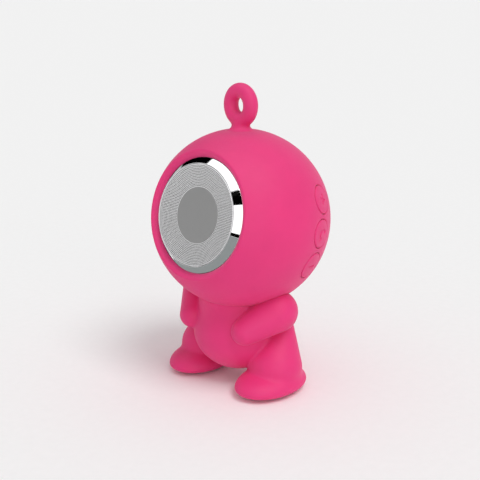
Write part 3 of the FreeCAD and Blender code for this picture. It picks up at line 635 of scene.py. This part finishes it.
def egg_field(points, centre, semi):
    q = points - np.array(centre)
    near = length(q / np.array(semi))
    slope = length(q / np.array(semi) ** 2)
    return near * (near - 1) / np.maximum(slope, 1e-9)


def limb_field(points, a, radius_a, b, radius_b):
    """Distance to two balls joined by the cone that touches both."""
    a, b = np.array(a), np.array(b)
    span = b - a
    whole = math.sqrt(span @ span)
    along_axis = span / whole
    q = points - a
    along = q @ along_axis
    away = length(q - along[..., None] * along_axis)
    lean = (radius_a - radius_b) / whole
    square = math.sqrt(1 - lean ** 2)
    cone = away * square + along * lean - radius_a
    place = along - away * lean / square
    low = np.sqrt(away ** 2 + along ** 2) - radius_a
    high = np.sqrt(away ** 2 + (along - whole) ** 2) - radius_b
    return np.where(place < 0, low, np.where(place > whole, high, cone))


def surface_nets(field, low, step):
    """A closed quad mesh where the sampled field is zero; points are put right by settle()."""
    inside = field < 0
    cells = tuple(n - 1 for n in field.shape)
    total = np.zeros(cells + (3,))
    count = np.zeros(cells)
    crossings = []
    for axis in range(3):
        a = np.take(field, range(field.shape[axis] - 1), axis)
        b = np.take(field, range(1, field.shape[axis]), axis)
        crossed = (a < 0) != (b < 0)
        crossings.append(crossed)
        share = np.where(crossed, a / np.where(a == b, 1, a - b), 0)
        others = [k for k in range(3) if k != axis]
        for i in (0, 1):
            for j in (0, 1):
                part = [slice(None)] * 3
                part[others[0]] = slice(i, i + cells[others[0]])
                part[others[1]] = slice(j, j + cells[others[1]])
                here = crossed[tuple(part)]
                spot = np.zeros(cells + (3,))
                spot[..., axis] = share[tuple(part)]
                spot[..., others[0]] = i
                spot[..., others[1]] = j
                total += spot * here[..., None]
                count += here
    used = count > 0
    number = np.full(cells, -1)
    number[used] = np.arange(used.sum())
    corner = np.stack(np.nonzero(used), axis=1)
    points = np.array(low) + step * (corner + total[used] / count[used][:, None])
    faces = []
    for axis in range(3):
        j, k = [n for n in range(3) if n != axis]
        spots = np.stack(np.nonzero(crossings[axis]), axis=1)
        keep = (spots[:, j] > 0) & (spots[:, k] > 0)
        keep &= (spots[:, j] < cells[j]) & (spots[:, k] < cells[k])
        spots = spots[keep]
        ring = []
        for dj, dk in ((-1, -1), (0, -1), (0, 0), (-1, 0)):
            shifted = spots.copy()
            shifted[:, j] += dj
            shifted[:, k] += dk
            ring.append(number[tuple(shifted.T)])
        faces.append(np.stack(ring, axis=1))
    return points, np.concatenate(faces).tolist()


PROBE = 0.02                    # step of the finite differences in settle()
SHORTEST_SLOPE = 0.2
RELAXATION = 0.9


def settle(points, field, passes=4):
    """Moves mesh points onto the zero surface of their field."""
    for _ in range(passes):
        value = field(points)
        slope = np.stack([(field(points + PROBE * step) - field(points - PROBE * step)) / (2 * PROBE)
                          for step in np.eye(3)], axis=1)
        size = np.maximum((slope ** 2).sum(axis=1), SHORTEST_SLOPE)
        points = points - RELAXATION * slope * (value / size)[:, None]
    return points


def rounded_mass(field, low, high, step):
    axes = [np.arange(a, b + step, step) for a, b in zip(low, high)]
    grid = np.stack(np.meshgrid(*axes, indexing="ij"), axis=-1)
    points, faces = surface_nets(field(grid), low, step)
    return settle(points, field), faces


# ---------------------------------------------------------------- hanging loop
RING_BLEND = 1.6                # round between the ring and its neck
CROWN_BLEND = 2.6               # round between the neck and the head
LOOP_SPREAD = 9.0               # radius of the patch of head skin that belongs to the loop
LOOP_DEPTH = 3.4                # how far that patch reaches below the crown
LOOP_MARGIN = 0.6
LOOP_MESH = 0.24


def loop_field(points):
    """The ring on its flared neck, filleted into the top of the head."""
    crown = HEAD[2] + HEAD_RADIUS
    centre_z = HEAD[2] + LOOP_CENTRE_H
    x, y, z = points[..., 0], points[..., 1], points[..., 2] - centre_z
    near = np.sqrt((x / LOOP_HALF_WIDTH) ** 2 + (z / LOOP_HALF_HEIGHT) ** 2)
    slope = np.sqrt((x / LOOP_HALF_WIDTH ** 2) ** 2 + (z / LOOP_HALF_HEIGHT ** 2) ** 2)
    away = near * (near - 1) / np.maximum(slope, 1e-6)
    ring = np.sqrt(away ** 2 + y ** 2) - LOOP_TUBE_RADIUS
    (low, low_radius), (high, high_radius) = LOOP_NECK
    neck = limb_field(points, (0, 0, crown + low), low_radius, (0, 0, crown + high), high_radius)
    skin = ball_field(points, (0, 0, HEAD[2]), HEAD_RADIUS - 0.02)
    joined = blend_min(blend_min(ring, neck, RING_BLEND), skin, CROWN_BLEND)
    around = np.sqrt(x ** 2 + y ** 2) - LOOP_SPREAD
    under = (crown - LOOP_DEPTH) - points[..., 2]
    return np.maximum(joined, np.maximum(around, under))


def add_head_skin():
    points, faces = head_shell()
    crown = HEAD[2] + HEAD_RADIUS
    side = LOOP_SPREAD + LOOP_MARGIN
    low = (-side, -side, crown - LOOP_DEPTH - LOOP_MARGIN)
    high = (side, side, HEAD[2] + LOOP_TOP + LOOP_MARGIN)
    loop_points, loop_faces = rounded_mass(loop_field, low, high, LOOP_MESH)
    shift = len(points)
    points = np.concatenate([points, from_figure(loop_points)])
    faces = faces + [[i + shift for i in face] for face in loop_faces]
    skin = add_piece("head_skin_moulding", points, faces, "silicone_pink", ["head_skin"], sharp=60)
    skin.visible_glossy = False     # the chrome ring mirrors the studio and not its own rim


# ---------------------------------------------------------------- the little figure
TORSO = ((0.0, -1.2, 20.0), (17.7, 17.5, 14.0))
CHEST = ((0.0, -1.2, 22.0), 16.4, (0.0, -1.2, 43.8), 15.2)
ARM = ((20.0, -1.3, 32.8), 8.3, (14.2, -13.0, 26.1), 5.3)
LEG = ((16.8, 5.0, 22.2), 5.6, (18.9, -0.4, 9.0), 10.6)
FOOT = ((18.8, -2.9, 3.3), (11.5, 16.5, 6.2))
FOOT_DROP = 4.0                 # depth of the foot's ball below its widest level
FOOT_TURN = math.radians(-3.0)
CHEST_BLEND = 4.0               # rounds where the masses meet
ANKLE_BLEND = 1.6
HIP_BLEND = 1.4
ARM_BLEND = 1.1
SOLE_BLEND = 1.2
HEAD_OVERLAP = 0.3              # how far the body's top reaches into the head's skin
FIGURE_LOW = (-34.0, -21.0, -1.0)
FIGURE_HIGH = (34.0, 20.0, 50.0)
FIGURE_MESH = 0.45


def figure_field(points):
    """Belly, chest, arms, legs and feet, softly joined, open to the head and flat below."""
    sided = points.copy()
    sided[..., 0] = np.abs(sided[..., 0])
    belly = egg_field(points, *TORSO)
    trunk = blend_min(belly, limb_field(points, *CHEST), CHEST_BLEND)
    arm = limb_field(sided, *ARM)
    leg = limb_field(sided, *LEG)
    turned = sided - np.array(FOOT[0])
    cos, sin = math.cos(-FOOT_TURN), math.sin(-FOOT_TURN)
    across = turned[..., 0] * cos - turned[..., 1] * sin
    along = turned[..., 0] * sin + turned[..., 1] * cos
    above = turned[..., 2]
    above = np.where(above < 0, above * FOOT[1][2] / FOOT_DROP, above)
    foot = egg_field(np.stack([across, along, above], axis=-1), (0, 0, 0), FOOT[1])
    limb = blend_min(leg, foot, ANKLE_BLEND)
    body = blend_min(trunk, limb, HIP_BLEND)
    body = blend_min(body, arm, ARM_BLEND)
    body = blend_max(body, -points[..., 2], SOLE_BLEND)
    return np.maximum(body, -ball_field(points, (0, 0, HEAD[2]), HEAD_RADIUS - HEAD_OVERLAP))


def add_body_skin():
    points, faces = rounded_mass(figure_field, FIGURE_LOW, FIGURE_HIGH, FIGURE_MESH)
    points[:, 2] = np.maximum(points[:, 2], 0)
    add_piece("body_skin_moulding", from_figure(points), faces, "silicone_pink", ["body_skin"], sharp=60)


# ---------------------------------------------------------------- buttons
BUTTON_SEGMENTS = 192
BUTTON_RINGS = 56
STROKE = 0.42                   # half the width of an icon's stroke
STROKE_REACH = 2.1              # half the length of the signs' bars, radius of the handset's bow
STROKE_ROUND = 0.3
HANDSET_LEAN = math.radians(45)
HANDSET_LIFT = 0.8
BOW_SETBACK = 0.1               # the bow's centre lies this far below the two ends
EAR_REACH = 2.0                 # place and half sizes of the handset's two ends
EAR_SIZE = (0.72, 0.62)
ENGRAVING = 0.4
ENGRAVED_EDGE = 0.35            # width of the slope at an icon's edge


def bar(x, y, half_x, half_y, rounding):
    dx = np.maximum(np.abs(x) - half_x + rounding, 0)
    dy = np.maximum(np.abs(y) - half_y + rounding, 0)
    return np.sqrt(dx ** 2 + dy ** 2) - rounding


def minus_icon(x, y):
    return bar(x, y, STROKE_REACH, STROKE, STROKE_ROUND)


def plus_icon(x, y):
    return np.minimum(minus_icon(x, y), minus_icon(y, x))


def handset_icon(x, y):
    """A plain telephone handset, leaning to one side."""
    cos, sin = math.cos(HANDSET_LEAN), math.sin(HANDSET_LEAN)
    along = x * cos + y * sin
    above = y * cos - x * sin + HANDSET_LIFT
    bow = np.abs(np.sqrt(along ** 2 + (above + BOW_SETBACK) ** 2) - STROKE_REACH) - STROKE
    icon = np.maximum(bow, -above)
    for end in (-EAR_REACH, EAR_REACH):
        icon = np.minimum(icon, bar(along - end, above, *EAR_SIZE, STROKE_ROUND))
    return icon


ICONS = {"volume_up": plus_icon, "play_call": handset_icon, "volume_down": minus_icon}


def engraved(distance):
    """Depth of the icon, sloping down from its edge."""
    share = np.clip(0.5 - distance / ENGRAVED_EDGE, 0, 1)
    return ENGRAVING * share * share * (3 - 2 * share)


def add_button(name, side):
    """A domed cap with a rounded edge and an engraved icon, on its post."""
    angles = circle(BUTTON_SEGMENTS)
    made = Loops()
    rings = []
    for ring in np.linspace(0, BUTTON_RADIUS - BUTTON_EDGE, BUTTON_RINGS)[1:]:
        flat = ring_points(ring, 0.0, angles)
        depth = engraved(ICONS[name](flat[:, 0], flat[:, 1]))
        rings.append(ring_points(ring, on_ball(BUTTON_DOME, ring) - depth, angles))
    for turn in np.radians([18, 36, 54, 72, 90]):
        ring = BUTTON_RADIUS - BUTTON_EDGE * (1 - math.sin(turn))
        height = on_ball(BUTTON_DOME, ring) - BUTTON_EDGE * (1 - math.cos(turn))
        rings.append(ring_points(ring, height, angles))
    for ring in (BUTTON_RADIUS, BUTTON_RADIUS - BUTTON_WALL, POST_RADIUS):
        rings.append(ring_points(ring, on_ball(BUTTON_INNER, ring), angles))
    rings.append(ring_points(POST_RADIUS, POST_END + POST_CHAMFER, angles))
    rings.append(ring_points(POST_RADIUS - POST_CHAMFER, POST_END, angles))
    first, last = made.chain(rings)
    middle_depth = engraved(ICONS[name](np.zeros(1), np.zeros(1)))[0]
    made.cap(first, (0, 0, BUTTON_DOME - middle_depth))
    made.cap(last, (0, 0, POST_END))
    out, back, up = hole_axes(BUTTON_POLAR, side * BUTTON_STEP)
    points = from_face(made.all_points() @ np.array([back, up, out]))
    add_piece(name + "_cap", points, made.faces, "silicone_pink", ["button_" + name], name + "_key")


# ---------------------------------------------------------------- port cover
# rings of the sealing plug and of the thumb tab, all stadiums: half the straight part, radius
# of the ends, and height along the face axis
PLUG_RINGS = ((2.3, 2.4, -33.05), (2.3, 2.2, -32.85), (2.3, 2.2, -32.6), (2.3, 2.35, -32.4),
              (2.3, 2.35, -32.2), (2.3, 2.2, -32.0), (2.3, 2.15, -31.8), (2.3, 1.95, -31.7),
              (1.2, 1.0, -31.7))
TAB_RINGS = ((1.9, 0.1, -35.4), (1.9, 0.35, -35.38), (1.9, 0.52, -35.28), (1.9, 0.6, -35.1),
             (1.9, 0.6, -34.2))
TAB_INSET = 1.4                 # from the cover's lower edge up to the tab's middle


def add_port_cover():
    """Oval cover with a rounded edge, a thumb tab and a beaded sealing plug inside."""
    angles = circle(COLUMNS)
    made = Loops()

    def oval(straight, end, height):
        return ring_points(stadium_ring(angles, straight, end), height, angles)

    def domed(share, ball, inset=0.0):
        ring = stadium_ring(angles, COVER_STRAIGHT, COVER_END - inset) * share
        return ring_points(ring, -on_ball(ball, ring), angles)

    rings = [domed(share, HEAD_RADIUS, COVER_EDGE) for share in np.linspace(0, 1, 14)[1:]]
    for turn in QUARTER_TURN:
        ball = HEAD_RADIUS - COVER_EDGE * (1 - math.cos(turn))
        rings.append(domed(1.0, ball, COVER_EDGE * (1 - math.sin(turn))))
    rings.append(domed(1.0, COVER_INNER))
    rings.append(domed(1.0, COVER_INNER - 0.2, 0.2))
    rings += [oval(*ring) for ring in PLUG_RINGS]
    first, last = made.chain(rings)
    made.cap(first, (0, 0, -HEAD_RADIUS))
    made.cap(last, (0, 0, PLUG_RINGS[-1][2]))

    tab_y = TAB_INSET - COVER_END
    tab = []
    for sizes in TAB_RINGS:
        ring = oval(*sizes)
        ring[:, 1] += tab_y
        ring[:, 2] += HEAD_RADIUS - float(on_ball(HEAD_RADIUS, tab_y))
        tab.append(ring)
    first, last = made.chain(tab)
    made.cap(first, tab[0].mean(axis=0))
    made.cap(last, tab[-1].mean(axis=0))
    add_piece("port_cover_moulding", from_face(made.all_points()), made.faces, "silicone_pink",
              ["port_cover"], "port_cover")


# ---------------------------------------------------------------- bezel, disc, grille
BEZEL_BORE = 17.8
BEZEL_BASE_H = 20.5
BEZEL_STEP = (19.7, 20.9)       # radius and height of the recess under the ring
BEZEL_SEAT_H = 24.0
GRILLE_WELL = 19.26             # radius of the well that the grille sits in
WELL_CHAMFER = 0.08
BEAD_RADIUS = 18.75
BEAD_LOW = 24.02
BEAD_TOP = 24.6
DISC_GAP = 0.05
DISC_LOW = 24.22
DISC_TOP = 24.72
DISC_CROWN = 0.05
DISC_CHAMFER = 0.12


def add_bezel():
    """Chromed ring with its bevel, softened edges and the seat under the grille."""
    low, high = np.array(BEVEL_OUTER), np.array(BEVEL_INNER)
    bevel = [tuple(low + (high - low) * s) for s in (0.08, 0.1, 0.5, 0.92, 0.94)]
    corners = [(BEZEL_BORE, BEZEL_STEP[1]), BEZEL_STEP, (BEZEL_STEP[0], BEZEL_BASE_H),
               (BEVEL_OUTER[0], BEZEL_BASE_H), BEVEL_OUTER, *bevel, BEVEL_INNER,
               (GRILLE_WELL, BEVEL_INNER[1] - WELL_CHAMFER), (GRILLE_WELL, BEZEL_SEAT_H),
               (BEZEL_BORE, BEZEL_SEAT_H)]
    radii = [0.08, 0, 0, 0.1, 0.08, 0, 0, 0, 0, 0, 0.03, 0, 0, 0.08]
    made = revolved(rounded(corners, radii), 512)
    add_piece("chrome_bezel", from_face(made.all_points()), made.faces, "chrome", ["bezel_ring"], sharp=50)


def add_painted_shade_ring():
    """Black bead on the bezel's seat, seen through the outermost holes of the grille: painted shade that
    makes these holes look dark.
    """
    bore = BEZEL_BORE + 0.05
    corners = [(bore, BEAD_LOW), (BEAD_RADIUS, BEAD_LOW), (BEAD_RADIUS, BEAD_TOP), (bore, BEAD_TOP)]
    made = revolved(rounded(corners, [0, 0, 0.2, 0.2]), 256)
    # the black rubber finish of this bead is painted shade behind the grille's outer holes
    add_piece("grille_painted_shade_ring", from_face(made.all_points()), made.faces, "seal_rubber", ["bezel_ring"])


def add_centre_disc():
    """Plain satin disc, faintly crowned, with a chamfered edge."""
    angles = circle(256)
    radius = BADGE_RADIUS - DISC_GAP
    made = Loops()
    rings = [ring_points(r, DISC_TOP + DISC_CROWN * (1 - (r / BADGE_RADIUS) ** 2), angles)
             for r in np.linspace(0, radius - DISC_CHAMFER, 12)[1:]]
    rings.append(ring_points(radius, DISC_TOP - DISC_CHAMFER, angles))
    rings.append(ring_points(radius, DISC_LOW, angles))
    rings.append(ring_points(BADGE_RADIUS - 1.0, DISC_LOW, angles))
    first, last = made.chain(rings)
    made.cap(first, (0, 0, DISC_TOP + DISC_CROWN))
    made.cap(last, (0, 0, DISC_LOW))
    add_piece("centre_disc_plate", from_face(made.all_points()), made.faces, "badge_grey", ["centre_disc"])


HOLE_PITCH = 0.577              # from each ring of holes to the next
FIRST_RING = 19
LAST_RING = 32
HOLES_PER_STEP = 6              # each ring has six holes more than the one inside it
PERFORATION = 0.235             # radius of a hole
SHEET = 0.15                    # thinner than the CAD's, so that its holes look dark
CELL_MARGIN = 0.02              # plain strip left between the rings' cells
RECESS_DEPTH = 0.42


def dish_h(radius):
    share = np.clip((np.asarray(radius) - BADGE_RADIUS) / (GRILLE_RADIUS - BADGE_RADIUS), 0, 1)
    return BADGE_H + (GRILLE_RIM_H - BADGE_H) * share ** 1.5


def perforated_ring(made, number, drop):
    """One ring of cells on one face of the sheet; gives its edge loops and its hole rims."""
    holes = HOLES_PER_STEP * number
    middle = number * HOLE_PITCH
    reach = HOLE_PITCH / 2 - CELL_MARGIN
    fine = circle(2 * holes)
    whole = circle(holes)
    half_cell = math.pi / holes

    def place(radius, angles):
        radius = np.broadcast_to(radius, angles.shape)
        return made.add(ring_points(radius, dish_h(radius) - drop, angles))

    inner = place(middle - reach, fine)
    outer = place(middle + reach, fine)
    spokes = place(middle, whole + half_cell)
    corner = np.arange(holes)
    before = (2 * corner - 1) % (2 * holes)
    after = 2 * corner + 1
    border = np.stack([inner[before], inner[2 * corner], inner[after], spokes[corner],
                       outer[after], outer[2 * corner], outer[before], spokes[corner - 1]], axis=1)
    turns = np.radians([-135, 180, 135, 90, 45, 0, -45, -90])
    radius = middle + PERFORATION * np.cos(turns)[None, :] + 0 * whole[:, None]
    angle = whole[:, None] + PERFORATION * np.sin(turns)[None, :] / middle
    rim = made.add(ring_points(radius.ravel(), dish_h(radius.ravel()) - drop, angle.ravel()))
    rim = rim.reshape(holes, 8)
    for k in range(8):
        n = (k + 1) % 8
        made.faces.extend(np.stack([border[:, k], border[:, n], rim[:, n], rim[:, k]], axis=1).tolist())
    return inner, outer, fine, rim


def add_grille():
    """Dished sheet with rings of punched holes, a recess for the disc and a turned rim."""
    made = Loops()
    faces_of_sheet = []
    for drop in (0.0, SHEET):
        rings = [perforated_ring(made, n, drop) for n in range(FIRST_RING, LAST_RING + 1)]
        for (_, outer, angles, _), (inner, _, next_angles, _) in zip(rings, rings[1:]):
            made.stitch(outer, angles, inner, next_angles)
        faces_of_sheet.append(rings)
    for front, back in zip(*faces_of_sheet):
        for k in range(8):
            n = (k + 1) % 8
            made.faces.extend(np.stack([front[3][:, k], front[3][:, n], back[3][:, n], back[3][:, k]],
                                       axis=1).tolist())
    front, back = faces_of_sheet
    angles = front[0][2]
    recess = BADGE_H - RECESS_DEPTH
    loop_in = [made.add(ring_points(r, h, angles)) for r, h in
               ((BADGE_RADIUS, BADGE_H - 0.05), (BADGE_RADIUS, recess), (BADGE_RADIUS - 1, recess))]
    made.bridge(front[0][0], loop_in[0])
    made.bridge(loop_in[0], loop_in[1])
    made.bridge(loop_in[1], loop_in[2])
    made.cap(loop_in[2], (0, 0, recess))
    under = [made.add(ring_points(r, h, angles)) for r, h in
             ((BADGE_RADIUS - 0.3, recess - SHEET), (BADGE_RADIUS - 1, recess - SHEET))]
    made.bridge(back[0][0], under[0])
    made.bridge(under[0], under[1])
    made.cap(under[1], (0, 0, recess - SHEET))
    angles = front[-1][2]
    rim = [(GRILLE_RADIUS - 0.2, GRILLE_RIM_H - 0.02), (GRILLE_RADIUS - 0.12, GRILLE_RIM_H),
           (GRILLE_RADIUS - 0.05, GRILLE_RIM_H - 0.05),
           (GRILLE_RADIUS, GRILLE_RIM_H - 0.15), (GRILLE_RADIUS, GRILLE_SEAT_H),
           (GRILLE_RADIUS - SHEET, GRILLE_SEAT_H), (GRILLE_RADIUS - SHEET, GRILLE_RIM_H - 0.6)]
    first, last = made.chain([ring_points(r, h, angles) for r, h in rim])
    made.bridge(front[-1][1], first)
    made.bridge(last, back[-1][1])
    add_piece("perforated_grille", from_face(made.all_points()), made.faces, "grille_metal", ["grille"])


# ---------------------------------------------------------------- studio
VIEW_AZIMUTH = math.radians(42.7)
VIEW_ELEVATION = math.radians(15.5)
VIEW_DISTANCE = 0.35
VIEW_HEIGHT = 0.05725
VIEW_SIDE = -0.0003
LENS = 66.6
WORLD_LEVEL = 0.6               # what lights the scene
BACKDROP = 0.88                 # what the camera sees behind the floor
FLOOR_RINGS = (0.2, 1.0, 6.0, 60.0)
CARD_DISTANCE = 0.55
CARD_SPREAD = 0.3               # half the card's width over its distance
CARD_LOWEST = 0.002             # cards stop short of the floor
CARD_STEPS = 25
BLACK = (0, 0, 0)
BRIGHT = (1.3, 1.3, 1.3)
GREY = (0.28, 0.30, 0.30)
# the turns round the bezel, in degrees, between which each card is mirrored, and its level
CARDS = {
    "card_top": (84, 125, BLACK),
    "card_upper": (35, 83, BRIGHT),
    "card_block": (19.5, 34, BLACK),
    "card_side": (-9.3, 19.3, BRIGHT),
    "card_line": (-13, -9.5, BLACK),
    "card_low": (-115, -13.2, GREY),
}
# azimuth and elevation, strength, and width in degrees
SUNS = {"key": (80, 58, 1.05, 30), "fill": (60, 10, 0.3, 40)}


def view_axes():
    sa, ca = math.sin(VIEW_AZIMUTH), math.cos(VIEW_AZIMUTH)
    se, ce = math.sin(VIEW_ELEVATION), math.cos(VIEW_ELEVATION)
    return np.array([ca, sa, 0]), np.array([-sa * se, ca * se, ce]), np.array([sa * ce, -ca * ce, se])


def camera_place():
    right, _, back = view_axes()
    target = np.array([0, HEAD[1] * MM, VIEW_HEIGHT]) + right * VIEW_SIDE
    return target + back * VIEW_DISTANCE


def add_camera():
    data = bpy.data.cameras.new("camera")
    data.lens = LENS
    data.clip_start = 0.01
    data.clip_end = 20
    camera = bpy.data.objects.new("camera", data)
    right, up, back = view_axes()
    rows = np.eye(4)
    rows[:3] = np.stack([right, up, back, camera_place()], axis=1)
    camera.matrix_world = Matrix(rows.tolist())
    bpy.context.scene.collection.objects.link(camera)
    bpy.context.scene.camera = camera


def bezel_mirror(turn):
    """Where the bezel's bevel, at that turn about the face axis, sends the viewer's eye."""
    out = math.cos(turn) * FACE_AXES[0] + math.sin(turn) * FACE_AXES[1]
    middle = (np.array(BEVEL_OUTER) + BEVEL_INNER) / 2
    fall = np.array(BEVEL_OUTER) - BEVEL_INNER
    place = (HEAD + middle[1] * FACE_AXES[2] + middle[0] * out) * MM
    normal = (fall[0] * FACE_AXES[2] - fall[1] * out) / np.linalg.norm(fall)
    look = camera_place() - place
    look = look / np.linalg.norm(look)
    return place, 2 * (normal @ look) * normal - look


def add_card(name, start, end, level):
    """A studio card that only reflections see, from one turn of the bezel to another."""
    made = Loops()
    turns = np.radians(np.linspace(start, end, CARD_STEPS))
    spots = [bezel_mirror(t) for t in turns]
    places = np.array([p for p, _ in spots])
    directions = np.array([d for _, d in spots])
    along = np.gradient(directions, axis=0)
    lateral = np.cross(along, directions)
    lateral /= np.linalg.norm(lateral, axis=1)[:, None]

    def edge(side):
        way = directions + lateral * side * CARD_SPREAD
        to_floor = (places[:, 2] - CARD_LOWEST) / np.maximum(-way[:, 2], 1e-6)
        return made.add(places + way * np.minimum(CARD_DISTANCE, to_floor)[:, None])

    left = edge(1)
    right = edge(-1)
    quads = np.stack([left[:-1], left[1:], right[1:], right[:-1]], axis=1)
    mesh = bpy.data.meshes.new(name)
    mesh.from_pydata(made.all_points().tolist(), [], quads.tolist())
    card = bpy.data.objects.new(name, mesh)
    bpy.context.scene.collection.objects.link(card)
    material, _, shader = new_material(name)
    set_values(shader, {"Base Color": (0, 0, 0, 1), "Specular IOR Level": 0,
                        "Emission Color": (*level, 1), "Emission Strength": 1.0})
    mesh.materials.append(material)
    card.visible_camera = False
    card.visible_diffuse = False
    card.visible_shadow = False


def add_floor():
    mesh = bpy.data.meshes.new("floor")
    made = Loops()
    first, last = made.chain([ring_points(r, 0.0, circle(96)) for r in FLOOR_RINGS])
    made.cap(first, (0, 0, 0))
    mesh.from_pydata(made.all_points().tolist(), [], [list(map(int, f)) for f in made.faces])
    floor = bpy.data.objects.new("floor", mesh)
    bpy.context.scene.collection.objects.link(floor)
    floor.location.z = -0.0001
    mesh.materials.append(surface("floor_paper", (0.98, 0.98, 0.98), 0.01, 300.0, (0.7, 0.8), relief=0.02,
                                  sockets={"Specular IOR Level": 0.0}))


def add_sun(name, azimuth, elevation, strength, angle):
    data = bpy.data.lights.new(name, "SUN")
    data.energy = strength
    data.angle = math.radians(angle)
    light = bpy.data.objects.new(name, data)
    bpy.context.scene.collection.objects.link(light)
    light.rotation_euler = (math.radians(90 - elevation), 0, math.radians(azimuth))


def add_world():
    world = bpy.data.worlds.new("studio")
    bpy.context.scene.world = world
    world.use_nodes = True
    tree = world.node_tree
    tree.nodes.clear()
    path = tree.nodes.new("ShaderNodeLightPath")
    mix = add_node(tree, "ShaderNodeMixShader", {}, Fac=path.outputs["Is Camera Ray"])
    for place, level in ((1, WORLD_LEVEL), (2, BACKDROP)):
        light = add_node(tree, "ShaderNodeBackground", {"Color": (1, 1, 1, 1), "Strength": level})
        tree.links.new(light.outputs["Background"], mix.inputs[place])
    add_node(tree, "ShaderNodeOutputWorld", {}, Surface=mix.outputs["Shader"])


def add_studio():
    add_floor()
    add_world()
    for name, sun in SUNS.items():
        add_sun(name, *sun)
    for name, card in CARDS.items():
        add_card(name, *card)
    bpy.context.scene.view_settings.view_transform = "Standard"


# ---------------------------------------------------------------- build
paint_cad_nodes()
add_head_skin()
add_body_skin()
for button_name, button_side in BUTTONS.items():
    add_button(button_name, button_side)
add_port_cover()
add_bezel()
# painted shade: a black ring behind the grille's outer holes
add_painted_shade_ring()
add_centre_disc()
add_grille()
add_camera()
add_studio()
